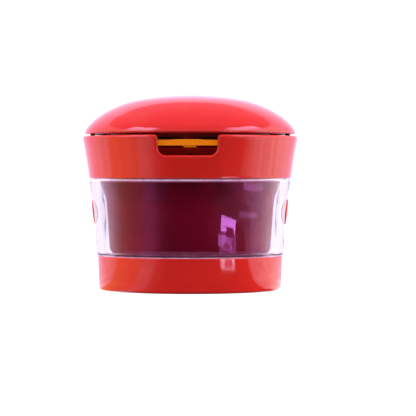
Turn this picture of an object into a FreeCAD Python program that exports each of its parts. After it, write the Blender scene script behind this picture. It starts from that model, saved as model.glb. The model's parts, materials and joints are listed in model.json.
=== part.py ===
import FreeCAD, Part
import math
import os

from FreeCAD import Vector

# Round pill splitter with a crushing cup, in millimetres.
# The origin is on the axis of the round body, in the plane the object stands on.
# +Z is up, the finger notch faces -Y and the lid's hinge is at +Y.

# Levels of the stack, from the table up
SOLE_H = 1.2
BASE_BOTTOM = 0.3
WEB_BOTTOM, WEB_TOP = 6.6, 8.2
BASE_TOP = 11.7
CUP_FLOOR = 11.4
CUP_SHOULDER = 37.6
COLLAR_BOTTOM = 37.9
CUP_RIM = 43.1
SHELF_BOTTOM, SHELF_TOP = 43.4, 45.4
TRAY_BOTTOM, TRAY_TOP = 48.7, 50.7
COLLAR_TOP = 52.2
LID_EDGE = 53.3
LID_TOP = 66.0

# Outer radii
BASE_R_LOW, BASE_R_TOP = 30.95, 31.45
CUP_R_LOW, CUP_R_TOP = 31.65, 34.25
COLLAR_R_LOW, COLLAR_R_MID, COLLAR_R_TOP = 34.3, 35.28, 36.5
LID_R = 36.25

# Walls, fits, the depth by which joined pieces bite into each other, and a length past them all
WALL = 1.8
CORE_WALL = 1.5
BITE = 0.2
HALF_FIT, WHOLE_FIT = 0.06, 0.2
FAR = 60.0
TINY = 1e-6

# Base: its bore's bottom plate, its rubber sole, and the screw bosses between plate and web
BASE_CORNER = 0.8
BASE_BOSS_R = 3.4
BASE_SCREW_CIRCLE, BASE_SCREW_ANGLES, BASE_SCREW_TIP = 15.0, (30, 150, 270), 10.4
PLATE_BOTTOM, PLATE_TOP, PLATE_R = 0.9, 2.4, 29.1
SOLE_R = 27.5
SOLE_FIT = 0.1

# Clear cup
CUP_BORE_LOW, CUP_BORE_TOP = 29.2, 31.2
NECK_R = 32.5
SPIGOT_R = 29.1
RIDGE_COUNT, RIDGE_W, RIDGE_H = 8, 1.2, 0.35
RIDGE_R_IN, RIDGE_R_OUT = 5.0, 21.0
CUP_FOOT_BEVEL = 1.6
CORE_RIDGE_PHASE = 22.5

# Thumb recess and pad on each side of the clear cup
THUMB_Z = 26.5
THUMB_DEPTH = 0.9
THUMB_CUT_R = 64.0
PAD_HALF_W, PAD_HALF_H = 6.5, 4.35
PAD_SEAT, PAD_FIT = 0.7, 0.02
PAD_CROWN_R, PAD_CROWN_RISE, PAD_REACH = 34.0, 1.2, 6.0

# Seal ring in the collar
SEAL_Z_LOW, SEAL_Z_TOP = 40.0, 41.4
SEAL_FIT, GROOVE_FIT = 0.08, 0.1
SEAL_R_IN, SEAL_R_OUT = NECK_R + SEAL_FIT, 33.32

# Collar
SKIRT_BORE = 32.85
COLLAR_BORE_LOW, COLLAR_BORE_TOP = 33.4, 33.8
RIM_LIP_R, RIM_LIP_H, RIM_LIP_SLOPE = 32.3, 1.3, (0.5, 0.7)
COLLAR_CORNER = 0.85
SHELF_BORE = 26.0
NOTCH_HALF_W, NOTCH_FLOOR, NOTCH_CORNER, NOTCH_BEVEL = 9.95, 45.4, 2.6, 1.0
NOTCH_Y = (-40.0, -30.0)

# Inner cup: its outer radius, from the foot up to the cove below the flange
CORE_BOTTOM = 12.4
CORE_CORNER = 2.6
CORE_R_LOW, CORE_R_MID, CORE_R_COVE, CORE_R_TOP = 27.2, 28.5, 29.2, 30.9
CORE_MID_Z, CORE_COVE_Z, CORE_TOP_Z = 31.0, 35.2, 38.5
CORE_IN_TOP, CORE_IN_COVE = 0.9, 0.5
CUP_SCREW_CIRCLE, CUP_SCREW_ANGLES = 27.4, (90, 210, 330)
CUP_BOSS_R, CUP_BOSS_BOTTOM, CUP_SCREW_BITE = 2.1, 35.0, 6.0

# Pill tray and grips
TRAY_R, TRAY_FRONT = 32.0, 31.5
SLOT_HALF_W, SLOT_FRONT, SLOT_BACK, SLOT_CORNER = 2.1, -20.5, 17.0, 0.9
TRAY_BEVEL = 0.25
GRIP_TOP = 55.2
GRIP_ANGLE, GRIP_LENGTH, GRIP_WALL = 35.0, 15.0, 3.2
GRIP_START_Y, GRIP_HEEL, GRIP_ROUND = 2.0, (1.0, 5.0), 0.5
POST_CIRCLE, POST_R = 28.7, 2.2
POST_ANGLES = (45, 135, 225, 315)

# Lid: three tangent arcs from the crown outwards, as (radius, end angle from upright)
LID_ARCS = ((100.9, 9.71), (35.0, 34.4), (18.55, 57.0))
LIP_H = 0.42
LINER_R_IN, LINER_R_OUT, LINER_BOTTOM, LINER_TOP = 25.6, 27.0, 51.6, 58.8
EAR_CIRCLE, EAR_R, EAR_H = 22.6, 2.6, 1.4
EAR_ANGLES = (45, 135, 225, 315)
LINER_BOSS_R, LINER_SCREW_BITE = 2.2, 1.4
HOLDER_PAD_X = (-4.0, 6.0)
BUMPER_X, BUMPER_R, BUMPER_GAP, BUMPER_TAIL = 33.2, 0.8, 0.05, 2.0

# Lid hinge
HINGE_Y, HINGE_Z = 38.2, 52.7
KNUCKLE_R, HINGE_PIN_R = 2.3, 1.0
LID_KNUCKLE_HALF, KNUCKLE_GAP, KNUCKLE_END = 4.6, 0.35, 9.5
WEB_ROOT_Y, WEB_FOOT_Z, BRIDGE_Y = (35.0, 36.1), 46.8, 34.6

# Blade, its holder and its clamp
BLADE_T, BLADE_EDGE, BLADE_SPINE, BLADE_BEVEL = 0.5, 49.9, 61.9, 1.5
BLADE_FRONT, BLADE_BACK = -15.0, 13.0
HOLDER_BOTTOM, HOLDER_TOP, HOLDER_X = 59.0, 62.2, 5.0
CLAMP_T, CLAMP_BOTTOM, CLAMP_TOP = 1.9, 59.2, 62.0
CLAMP_SCREW_Z = 60.6
CLAMP_SCREW_Y = (-9.0, 7.0)
CLAMP_SCREW_TIP = 4.0

# Blade guard and its pivot
PIVOT_Y, PIVOT_Z, PIVOT_R, GUARD_PIN_R = 21.5, 56.8, 1.8, 0.8
GUARD_HALF, GUARD_GAP = 1.6, 0.7
GUARD_LOW, GUARD_HIGH, GUARD_NOSE = 49.4, 52.9, -18.5
GUARD_HEEL_Y, GUARD_BACK_Y, GUARD_SHOULDER_Y = 14.0, 18.0, 8.0
EAR_LEFT, EAR_RIGHT = (-3.4, -1.9), (4.3, 5.8)
HOLDER_EAR_R, HOLDER_PLATE_T, HOLDER_PLATE_Y = 2.1, 1.2, 10.0
SPRING_WIRE, SPRING_TURNS, SPRING_COIL_R, SPRING_PITCH = 0.4, 4, 1.25, 0.5

# Screws, as (head radius, head height, shank radius)
SMALL_SCREW = (1.7, 1.1, 0.9)
BASE_SCREW = (2.3, 1.2, 1.2)
CLAMP_SCREW = (1.4, 0.9, 0.9)
PILOT = 0.02
HEAD_ROUND, RECESS_ARM, RECESS_WIDTH, RECESS_DEPTH = 0.35, 0.6, 0.14, 0.45
SOLE_HEAD_H, SOLE_HEAD_DEPTH = 0.8, 0.85

UP = Vector(0, 0, 1)
X_AXIS = Vector(1, 0, 0)
Y_AXIS = Vector(0, 1, 0)
CENTRE = Vector(0, 0, 0)

# How far the middle of a round corner lies inside its two sides, as a share of its radius
ROUND_DROP = 1 - math.sqrt(0.5)


def line(a, b):
    """A straight edge between two (radius, height) points."""
    return Part.LineSegment(Vector(a[0], 0, a[1]), Vector(b[0], 0, b[1])).toShape()


def arc(a, middle, b):
    """A round edge through three (radius, height) points."""
    points = [Vector(p[0], 0, p[1]) for p in (a, middle, b)]
    return Part.Arc(*points).toShape()


def turned(edges):
    """Turns a closed outline of edges about the Z axis."""
    face = Part.Face(Part.Wire(Part.__sortEdges__(edges)))
    return face.revolve(CENTRE, UP, 360)


def turned_points(points):
    """Turns a closed outline of straight runs about the Z axis."""
    closed = list(points) + [points[0]]
    return turned([line(a, b) for a, b in zip(closed, closed[1:])])


def block(x, y, z):
    """A box from its lowest and highest corner along each axis."""
    size = (x[1] - x[0], y[1] - y[0], z[1] - z[0])
    return Part.makeBox(*size, Vector(x[0], y[0], z[0]))


def rod(radius, z_low, z_high, x=0.0, y=0.0):
    """An upright cylinder."""
    return Part.makeCylinder(radius, z_high - z_low, Vector(x, y, z_low), UP)


def cross_rod(radius, x_low, x_high, y, z):
    """A cylinder along X."""
    return Part.makeCylinder(radius, x_high - x_low, Vector(x_low, y, z), X_AXIS)


def prism_x(points, x_low, x_high):
    """A (y, z) outline carried along X."""
    wire = Part.makePolygon([Vector(x_low, y, z) for y, z in points + points[:1]])
    return Part.Face(wire).extrude(Vector(x_high - x_low, 0, 0))


def on_circle(radius, degrees):
    """The (x, y) point at an angle on a circle about the axis."""
    a = math.radians(degrees)
    return radius * math.cos(a), radius * math.sin(a)


def joined(first, *others):
    """Fuses solids into one, without leftover seams."""
    return first.fuse(list(others)).removeSplitter()


def mirrored_x(shape):
    return shape.mirror(CENTRE, X_AXIS)


def save(name, shape):
    """Writes one sub-part, after testing that every solid in it is sound."""
    solids = shape.Solids
    assert solids and shape.isValid(), name
    out = solids[0] if len(solids) == 1 else Part.makeCompound(solids)
    out.exportStep("parts/%s.step" % name)
    print("%-16s %2d solid(s) %9.2f mm3" % (name, len(solids), shape.Volume))


def screw(size, length):
    """A pan-head screw along +Z, its head's underside at z = 0, with a cross recess."""
    head_r, head_h, shank_r = size
    head = rod(head_r, -head_h, 0)
    rim = [e for e in head.Edges if abs(e.BoundBox.ZMax + head_h) < TINY and e.Closed]
    head = head.makeFillet(HEAD_ROUND * head_h, rim)
    whole = joined(head, rod(shank_r, 0, length))
    arm, width, depth = RECESS_ARM * head_r, RECESS_WIDTH * head_r, RECESS_DEPTH * head_h
    for half_x, half_y in ((arm, width), (width, arm)):
        recess = block((-half_x, half_x), (-half_y, half_y), (-head_h - 1, -head_h + depth))
        whole = whole.cut(recess)
    return whole


def placed_screws(size, length, spots, turn_axis=None, turn=0.0):
    """Copies of one screw at several points, as separate solids."""
    model = screw(size, length)
    if turn_axis is not None:
        model.rotate(CENTRE, turn_axis, turn)
    copies = []
    for spot in spots:
        one = model.copy()
        one.translate(Vector(*spot))
        copies.append(one)
    return Part.makeCompound(copies)


# Base: red ring, its bottom plate, the sole and the screws that clamp the clear cup

def base_shell():
    bore = SPIGOT_R + WHOLE_FIT
    corner = BASE_CORNER
    bend = corner * ROUND_DROP
    foot = (BASE_R_LOW - corner, BASE_BOTTOM)
    side = (BASE_R_LOW, BASE_BOTTOM + corner)
    round_edge = arc(foot, (BASE_R_LOW - bend, BASE_BOTTOM + bend), side)
    points = [side, (BASE_R_TOP, BASE_TOP), (bore, BASE_TOP), (bore, WEB_TOP), (0, WEB_TOP)]
    points += [(0, WEB_BOTTOM), (bore, WEB_BOTTOM), (bore, BASE_BOTTOM), foot]
    ring = turned([round_edge] + [line(a, b) for a, b in zip(points, points[1:])])
    spots = [on_circle(BASE_SCREW_CIRCLE, a) for a in BASE_SCREW_ANGLES]
    bosses = [rod(BASE_BOSS_R, PLATE_TOP, WEB_BOTTOM + BITE, x, y) for x, y in spots]
    shell = joined(ring, *bosses)
    for x, y in spots:
        shell = shell.cut(rod(BASE_SCREW[2] + PILOT, 0, FAR, x, y))
    return shell


def base_plate():
    plate = rod(PLATE_R, PLATE_BOTTOM, PLATE_TOP)
    plate = plate.cut(rod(SOLE_R + SOLE_FIT, 0, SOLE_H))
    for a in BASE_SCREW_ANGLES:
        x, y = on_circle(BASE_SCREW_CIRCLE, a)
        plate = plate.cut(rod(BASE_SCREW[2] + PILOT, 0, FAR, x, y))
    return plate


def base_screws():
    """Heads sit in pockets of the sole, under the plate."""
    spots = [on_circle(BASE_SCREW_CIRCLE, a) + (SOLE_H,) for a in BASE_SCREW_ANGLES]
    head = (BASE_SCREW[0], SOLE_HEAD_H, BASE_SCREW[2])
    return placed_screws(head, BASE_SCREW_TIP - SOLE_H, spots)


def rubber_sole():
    sole = rod(SOLE_R, 0, SOLE_H)
    for a in BASE_SCREW_ANGLES:
        x, y = on_circle(BASE_SCREW_CIRCLE, a)
        sole = sole.cut(rod(BASE_SCREW[0] + SOLE_FIT, SOLE_H - SOLE_HEAD_DEPTH, FAR, x, y))
    return sole


# Clear crushing cup and its thumb pads

def ridges(z_low, z_high, phase):
    """Radial bars that break a tablet when one set turns over the other."""
    bars = []
    for i in range(RIDGE_COUNT):
        half = RIDGE_W / 2
        bar = block((RIDGE_R_IN, RIDGE_R_OUT), (-half, half), (z_low, z_high))
        bar.rotate(CENTRE, UP, phase + i * 360.0 / RIDGE_COUNT)
        bars.append(bar)
    return bars


def cup_slope():
    """Angle between the clear cup's outer wall and upright, in degrees."""
    return math.degrees(math.atan2(CUP_R_TOP - CUP_R_LOW, CUP_SHOULDER - BASE_TOP))


def cup_radius(z):
    """Outer radius of the clear cup at a height."""
    share = (z - BASE_TOP) / (CUP_SHOULDER - BASE_TOP)
    return CUP_R_LOW + share * (CUP_R_TOP - CUP_R_LOW)


def thumb_cutter():
    """A lying cylinder that scoops the shallow thumb recess out of the +X side."""
    slope = math.radians(cup_slope())
    reach = THUMB_CUT_R - THUMB_DEPTH
    x = cup_radius(THUMB_Z) + reach * math.cos(slope)
    z = THUMB_Z - reach * math.sin(slope)
    return Part.makeCylinder(THUMB_CUT_R, FAR, Vector(x, -FAR / 2, z), Y_AXIS)


def pad_column(grow, x_low, x_high):
    """An oval bar along X, the outline of the thumb pad, grown all round."""
    oval = Part.Ellipse(CENTRE, PAD_HALF_W + grow, PAD_HALF_H + grow).toShape()
    bar = Part.Face(Part.Wire([oval])).extrude(UP * (x_high - x_low))
    bar.rotate(CENTRE, Vector(1, 1, 1), 120)
    bar.translate(Vector(x_low, 0, THUMB_Z))
    return bar


def clear_cup():
    outer = [(SPIGOT_R, WEB_TOP), (SPIGOT_R, BASE_TOP), (CUP_R_LOW, BASE_TOP),
             (CUP_R_TOP, CUP_SHOULDER), (NECK_R, CUP_SHOULDER), (NECK_R, CUP_RIM)]
    inner = [(CUP_BORE_TOP, CUP_RIM), (CUP_BORE_TOP, CUP_SHOULDER)]
    inner += [(CUP_BORE_LOW, CUP_FLOOR + CUP_FOOT_BEVEL), (CUP_BORE_LOW - CUP_FOOT_BEVEL, CUP_FLOOR)]
    floor = [(0, CUP_FLOOR), (0, WEB_TOP)]
    cup = turned_points(outer + inner + floor)
    cup = joined(cup, *ridges(CUP_FLOOR - BITE, CUP_FLOOR + RIDGE_H, 0.0))
    seat_x = cup_radius(THUMB_Z) - THUMB_DEPTH - PAD_SEAT
    for side in (False, True):
        tools = [thumb_cutter(), pad_column(0.0, seat_x, seat_x + PAD_REACH)]
        for tool in tools:
            cup = cup.cut(mirrored_x(tool) if side else tool)
    for a in BASE_SCREW_ANGLES:
        x, y = on_circle(BASE_SCREW_CIRCLE, a)
        cup = cup.cut(rod(BASE_SCREW[2] + PILOT, 0, BASE_SCREW_TIP + PILOT, x, y))
    return cup


def thumb_pad():
    """A soft oval pad that fills its pocket and ends in a slightly crowned face."""
    seat_x = cup_radius(THUMB_Z) - THUMB_DEPTH - PAD_SEAT
    centre = Vector(cup_radius(THUMB_Z) - PAD_CROWN_R, 0, THUMB_Z + PAD_CROWN_RISE)
    crown = Part.makeSphere(PAD_CROWN_R, centre)
    return pad_column(-PAD_FIT, seat_x, seat_x + PAD_REACH).common(crown)


def seal_ring():
    return rod(SEAL_R_OUT, SEAL_Z_LOW, SEAL_Z_TOP).cut(rod(SEAL_R_IN, 0, FAR))


# Head: collar, inner cup, tray and grips

def collar_wall():
    """The flared red ring with its rim lip, its seal groove and the shelf."""
    corner = COLLAR_CORNER
    bend = corner * ROUND_DROP
    low = (COLLAR_R_LOW, COLLAR_BOTTOM)
    high = (COLLAR_R_TOP, COLLAR_TOP - corner)
    top = (COLLAR_R_TOP - corner, COLLAR_TOP)
    side = arc(low, (COLLAR_R_MID, (low[1] + high[1]) / 2), high)
    shoulder = arc(high, (COLLAR_R_TOP - bend, COLLAR_TOP - bend), top)
    lip_z = COLLAR_TOP - RIM_LIP_H
    above, below = RIM_LIP_SLOPE
    points = [top, (RIM_LIP_R, COLLAR_TOP), (RIM_LIP_R, lip_z + above), (COLLAR_BORE_TOP, lip_z - below),
              (COLLAR_BORE_LOW, SHELF_TOP), (SHELF_BORE, SHELF_TOP), (SHELF_BORE, SHELF_BOTTOM),
              (SKIRT_BORE, SHELF_BOTTOM), (SKIRT_BORE, COLLAR_BOTTOM), low]
    ring = turned([side, shoulder] + [line(a, b) for a, b in zip(points, points[1:])])
    groove_r = SEAL_R_OUT + SEAL_FIT
    groove = rod(groove_r, SEAL_Z_LOW - GROOVE_FIT, SEAL_Z_TOP + GROOVE_FIT)
    return ring.cut(groove.cut(rod(SKIRT_BORE - 1, 0, FAR)))


def notch_tool():
    """The finger notch: a slot with rounded bottom corners, cut through the front wall."""
    slot = block((-NOTCH_HALF_W, NOTCH_HALF_W), NOTCH_Y, (NOTCH_FLOOR, FAR))
    low = [e for e in slot.Edges
           if e.BoundBox.ZMax < NOTCH_FLOOR + TINY and e.BoundBox.YLength > 1]
    return slot.makeFillet(NOTCH_CORNER, low)


def notch_rim_edges(shape):
    """The notch's edges on the collar's outer face."""
    found = []
    for e in shape.Edges:
        box = e.BoundBox
        middle = e.valueAt((e.FirstParameter + e.LastParameter) / 2)
        radius = math.hypot(middle.x, middle.y)
        near = abs(middle.x) < NOTCH_HALF_W + 0.2 and middle.y < 0
        if near and radius > COLLAR_R_MID - 0.2 and NOTCH_FLOOR - 0.1 < middle.z < COLLAR_TOP - 1:
            if box.ZMax < COLLAR_TOP - 0.7 or box.ZLength > 1:
                found.append(e)
    return found


def collar_knuckles():
    """Two barrels at the back, each on a block that grows out of the wall."""
    start = LID_KNUCKLE_HALF + KNUCKLE_GAP
    barrel = cross_rod(KNUCKLE_R, start, KNUCKLE_END, HINGE_Y, HINGE_Z)
    root, foot = WEB_ROOT_Y
    back = HINGE_Y + KNUCKLE_R
    web = prism_x([(root, WEB_FOOT_Z), (foot, WEB_FOOT_Z), (back, HINGE_Z - 0.6), (back, HINGE_Z),
                   (HINGE_Y, HINGE_Z), (root, COLLAR_TOP - 0.4)], start, KNUCKLE_END)
    right = joined(barrel, web)
    return [right, mirrored_x(right)]


def hinge_relief(x_low, x_high):
    """Room for a barrel of the other half of the hinge to turn."""
    return cross_rod(KNUCKLE_R + KNUCKLE_GAP, x_low, x_high, HINGE_Y, HINGE_Z)


def collar():
    shape = collar_wall().cut(notch_tool())
    shape = shape.makeChamfer(NOTCH_BEVEL, notch_rim_edges(shape))
    half = LID_KNUCKLE_HALF + KNUCKLE_GAP
    shape = shape.cut(hinge_relief(-half, half))
    shape = joined(shape, *collar_knuckles())
    shape = shape.cut(cross_rod(HINGE_PIN_R + PILOT, -FAR, FAR, HINGE_Y, HINGE_Z))
    posts = [rod(POST_R, SHELF_TOP - BITE, TRAY_BOTTOM, *on_circle(POST_CIRCLE, a)) for a in POST_ANGLES]
    shape = joined(shape, *posts)
    for a in POST_ANGLES:
        x, y = on_circle(POST_CIRCLE, a)
        shape = shape.cut(rod(SMALL_SCREW[2] + PILOT, SHELF_TOP, TRAY_BOTTOM + 1, x, y))
    for a in CUP_SCREW_ANGLES:
        x, y = on_circle(CUP_SCREW_CIRCLE, a)
        shape = shape.cut(rod(SMALL_SCREW[2] + PILOT, SHELF_BOTTOM - 1, SHELF_TOP + 1, x, y))
    return shape


def inner_cup():
    """The red core: store for cut halves above, ridged crusher face below."""
    t = CORE_WALL
    bend = CORE_CORNER * ROUND_DROP
    foot = (CORE_R_LOW - CORE_CORNER, CORE_BOTTOM)
    side = (CORE_R_LOW, CORE_BOTTOM + CORE_CORNER)
    mid, cove, top = (CORE_R_MID, CORE_MID_Z), (CORE_R_COVE, CORE_COVE_Z), (CORE_R_TOP, CORE_TOP_Z)
    outer = [arc(foot, (CORE_R_LOW - bend, CORE_BOTTOM + bend), side), line(side, mid),
             arc(mid, cove, top), line(top, (CORE_R_TOP, SHELF_BOTTOM))]
    in_top = (CORE_R_TOP - t, CORE_TOP_Z + CORE_IN_TOP)
    in_cove = (CORE_R_COVE - t, CORE_COVE_Z + CORE_IN_COVE)
    in_mid, in_side = (CORE_R_MID - t, CORE_MID_Z), (CORE_R_LOW - t, CORE_BOTTOM + CORE_CORNER)
    small = CORE_CORNER - t
    in_foot = (in_side[0] - small, CORE_BOTTOM + t)
    in_bend = small * ROUND_DROP
    inner = [line((CORE_R_TOP, SHELF_BOTTOM), (CORE_R_TOP - t, SHELF_BOTTOM)),
             line((CORE_R_TOP - t, SHELF_BOTTOM), in_top), arc(in_top, in_cove, in_mid),
             line(in_mid, in_side),
             arc(in_side, (in_side[0] - in_bend, CORE_BOTTOM + t + in_bend), in_foot),
             line(in_foot, (0, CORE_BOTTOM + t)), line((0, CORE_BOTTOM + t), (0, CORE_BOTTOM)),
             line((0, CORE_BOTTOM), foot)]
    cup = turned(outer + inner)
    outline = turned(outer + [line((CORE_R_TOP, SHELF_BOTTOM), (0, SHELF_BOTTOM)),
                              line((0, SHELF_BOTTOM), (0, CORE_BOTTOM)), line((0, CORE_BOTTOM), foot)])
    bosses = [rod(CUP_BOSS_R, CUP_BOSS_BOTTOM, SHELF_BOTTOM, *on_circle(CUP_SCREW_CIRCLE, a))
              for a in CUP_SCREW_ANGLES]
    cup = joined(cup, *[b.common(outline) for b in bosses])
    cup = joined(cup, *ridges(CORE_BOTTOM - RIDGE_H, CORE_BOTTOM + BITE, CORE_RIDGE_PHASE))
    for a in CUP_SCREW_ANGLES:
        x, y = on_circle(CUP_SCREW_CIRCLE, a)
        cup = cup.cut(rod(SMALL_SCREW[2] + PILOT, SHELF_BOTTOM - CUP_SCREW_BITE - BITE, FAR, x, y))
    return cup


def down_screws(circle, angles, seat_z, length):
    """Small screws with their heads above, driven downwards."""
    spots = [on_circle(circle, a) + (seat_z,) for a in angles]
    return placed_screws(SMALL_SCREW, length, spots, X_AXIS, 180)


def cup_screws():
    length = SHELF_TOP - SHELF_BOTTOM + CUP_SCREW_BITE
    return down_screws(CUP_SCREW_CIRCLE, CUP_SCREW_ANGLES, SHELF_TOP, length)


def tray_screws():
    return down_screws(POST_CIRCLE, POST_ANGLES, TRAY_TOP, TRAY_TOP - SHELF_TOP - 0.1)


def pill_tray():
    tray = rod(TRAY_R, TRAY_BOTTOM, TRAY_TOP)
    tray = tray.cut(block((-FAR, FAR), (-FAR, -TRAY_FRONT), (0, FAR)))
    slot = block((-SLOT_HALF_W, SLOT_HALF_W), (SLOT_FRONT, SLOT_BACK), (0, FAR))
    upright = [e for e in slot.Edges if e.BoundBox.ZLength > FAR / 2]
    tray = tray.cut(slot.makeFillet(SLOT_CORNER, upright))
    for a in POST_ANGLES:
        x, y = on_circle(POST_CIRCLE, a)
        tray = tray.cut(rod(SMALL_SCREW[2] + PILOT, 0, FAR, x, y))
    rim = [e for e in tray.Edges if e.BoundBox.ZMin > TRAY_TOP - TINY and e.BoundBox.XLength > TRAY_R / 2]
    return tray.makeChamfer(TRAY_BEVEL, rim)


def grip_half():
    """One arm of the soft V that centres the tablet under the blade."""
    a = math.radians(GRIP_ANGLE)
    start = (SLOT_HALF_W, GRIP_START_Y)
    end = (start[0] + GRIP_LENGTH * math.sin(a), start[1] - GRIP_LENGTH * math.cos(a))
    back = (end[0] + GRIP_WALL * math.cos(a), end[1] + GRIP_WALL * math.sin(a))
    side, tail = GRIP_HEEL
    heel = (start[0] + GRIP_WALL * math.cos(a) + side, start[1] + GRIP_WALL * math.sin(a))
    outline = [start, end, back, heel, (SLOT_HALF_W, start[1] + tail)]
    wire = Part.makePolygon([Vector(x, y, TRAY_TOP) for x, y in outline + outline[:1]])
    arm = Part.Face(wire).extrude(UP * (GRIP_TOP - TRAY_TOP))
    top = [e for e in arm.Edges if e.BoundBox.ZMin > GRIP_TOP - TINY]
    return arm.makeFillet(GRIP_ROUND, top)


def pill_grips():
    right = grip_half()
    return Part.makeCompound([right, mirrored_x(right)])


def hinge_pin():
    return cross_rod(HINGE_PIN_R, -KNUCKLE_END, KNUCKLE_END, HINGE_Y, HINGE_Z)


# Lid

def lid_curve(inset, end_z=None):
    """The lid's section from crown to brow, moved inwards by inset, as edges and an end point."""
    centre = [0.0, LID_TOP - LID_ARCS[0][0]]
    radius, start, edges, point = LID_ARCS[0][0], 0.0, [], None
    for next_radius, degrees in LID_ARCS:
        turn = math.radians(start)
        centre = [centre[0] + (radius - next_radius) * math.sin(turn),
                  centre[1] + (radius - next_radius) * math.cos(turn)]
        radius = next_radius
        r, last = radius - inset, degrees == LID_ARCS[-1][1]
        if last and end_z is not None:
            degrees = math.degrees(math.acos((end_z - centre[1]) / r))
        spots = []
        for angle in (start, (start + degrees) / 2, degrees):
            a = math.radians(angle)
            spots.append((centre[0] + r * math.sin(a), centre[1] + r * math.cos(a)))
        edges.append(arc(*spots))
        start, point = degrees, spots[2]
    return edges, point


def dome(inset):
    """The solid under the lid's curve, for trimming what hangs inside the lid."""
    edges, end = lid_curve(inset, LID_EDGE)
    close = [line(end, (0, LID_EDGE)), line((0, LID_EDGE), (0, LID_TOP - inset))]
    return turned(edges + close)


def lid_shell():
    outer, brow = lid_curve(0.0)
    inner, inside = lid_curve(WALL, LID_EDGE)
    lip_z = LID_EDGE + LIP_H
    step = [line(brow, (LID_R, lip_z)), line((LID_R, lip_z), (LID_R, LID_EDGE)),
            line((LID_R, LID_EDGE), inside), line((0, LID_TOP - WALL), (0, LID_TOP))]
    shell = turned(outer + inner + step)
    trim = dome(WALL / 2)
    pad = block(HOLDER_PAD_X, (BLADE_FRONT, BLADE_BACK), (HOLDER_TOP, LID_TOP)).common(trim)
    bosses = [rod(LINER_BOSS_R, LINER_TOP, LID_TOP, *on_circle(EAR_CIRCLE, a)).common(trim)
              for a in EAR_ANGLES]
    outer_half = LID_KNUCKLE_HALF + KNUCKLE_GAP / 2
    for side in (1, -1):
        ends = sorted((side * outer_half, side * (KNUCKLE_END + KNUCKLE_GAP)))
        shell = shell.cut(hinge_relief(*ends))
    barrel = cross_rod(KNUCKLE_R, -LID_KNUCKLE_HALF, LID_KNUCKLE_HALF, HINGE_Y, HINGE_Z)
    bridge = block((-LID_KNUCKLE_HALF, LID_KNUCKLE_HALF), (BRIDGE_Y, HINGE_Y),
                   (LID_EDGE, HINGE_Z + KNUCKLE_R - 0.1))
    shell = joined(shell, pad, *bosses, barrel, bridge)
    shell = shell.cut(cross_rod(HINGE_PIN_R + HALF_FIT, -FAR, FAR, HINGE_Y, HINGE_Z))
    for a in EAR_ANGLES:
        x, y = on_circle(EAR_CIRCLE, a)
        shell = shell.cut(rod(SMALL_SCREW[2] + PILOT, LID_EDGE, LINER_TOP + LINER_SCREW_BITE + 0.1, x, y))
    return shell


def lid_liner():
    """The ring inside the lid that closes over the tray, with its screw ears."""
    ring = rod(LINER_R_OUT, LINER_BOTTOM, LINER_TOP).cut(rod(LINER_R_IN, 0, 2 * FAR))
    ears = []
    for a in EAR_ANGLES:
        x, y = on_circle(EAR_CIRCLE, a)
        tab = block((EAR_CIRCLE, LINER_R_IN + 0.5), (-EAR_R, EAR_R), (LINER_TOP - EAR_H, LINER_TOP))
        tab.rotate(CENTRE, UP, a)
        ears += [rod(EAR_R, LINER_TOP - EAR_H, LINER_TOP, x, y), tab]
    liner = joined(ring, *ears)
    for a in EAR_ANGLES:
        x, y = on_circle(EAR_CIRCLE, a)
        liner = liner.cut(rod(SMALL_SCREW[2] + PILOT, 0, 2 * FAR, x, y))
    return liner


def liner_screws():
    spots = [on_circle(EAR_CIRCLE, a) + (LINER_TOP - EAR_H,) for a in EAR_ANGLES]
    return placed_screws(SMALL_SCREW, EAR_H + LINER_SCREW_BITE, spots)


def lid_bumpers():
    """Soft stops that keep the lid's edge off the rim."""
    trim = dome(WALL)
    low = rod(BUMPER_R, COLLAR_TOP + BUMPER_GAP, LID_EDGE, BUMPER_X, 0)
    tail = rod(BUMPER_R, LID_EDGE, LID_EDGE + BUMPER_TAIL, BUMPER_X, 0).common(trim)
    right = joined(low, tail)
    return Part.makeCompound([right, mirrored_x(right)])


# Blade unit

def screw_line(radius, x_low, x_high):
    return [cross_rod(radius, x_low, x_high, y, CLAMP_SCREW_Z) for y in CLAMP_SCREW_Y]


def blade():
    half = BLADE_T / 2
    outline = [(-half, BLADE_SPINE), (half, BLADE_SPINE), (half, BLADE_EDGE + BLADE_BEVEL),
               (0, BLADE_EDGE), (-half, BLADE_EDGE + BLADE_BEVEL)]
    wire = Part.makePolygon([Vector(x, BLADE_FRONT, z) for x, z in outline + outline[:1]])
    steel = Part.Face(wire).extrude(Y_AXIS * (BLADE_BACK - BLADE_FRONT))
    for hole in screw_line(CLAMP_SCREW[2] + PILOT, -BLADE_T, BLADE_T):
        steel = steel.cut(hole)
    return steel


def blade_holder():
    half = BLADE_T / 2
    bar = block((half, HOLDER_X), (BLADE_FRONT, BLADE_BACK), (HOLDER_BOTTOM, HOLDER_TOP))
    level = (HOLDER_BOTTOM, HOLDER_BOTTOM + HOLDER_PLATE_T)
    plate = block((half, EAR_RIGHT[1]), (HOLDER_PLATE_Y, PIVOT_Y + HOLDER_EAR_R), level)
    cross = block((EAR_LEFT[0], half + 1), (BLADE_BACK + 1, PIVOT_Y + HOLDER_EAR_R), level)
    ears = []
    for x_low, x_high in (EAR_LEFT, EAR_RIGHT):
        ear = block((x_low, x_high), (PIVOT_Y - HOLDER_EAR_R, PIVOT_Y + HOLDER_EAR_R), (PIVOT_Z, level[1]))
        ears += [ear, cross_rod(HOLDER_EAR_R, x_low, x_high, PIVOT_Y, PIVOT_Z)]
    holder = joined(bar, plate, cross, *ears)
    for hole in screw_line(CLAMP_SCREW[2] + PILOT, 0, CLAMP_SCREW_TIP + BITE):
        holder = holder.cut(hole)
    return holder.cut(cross_rod(GUARD_PIN_R + PILOT, -FAR, FAR, PIVOT_Y, PIVOT_Z))


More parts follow.
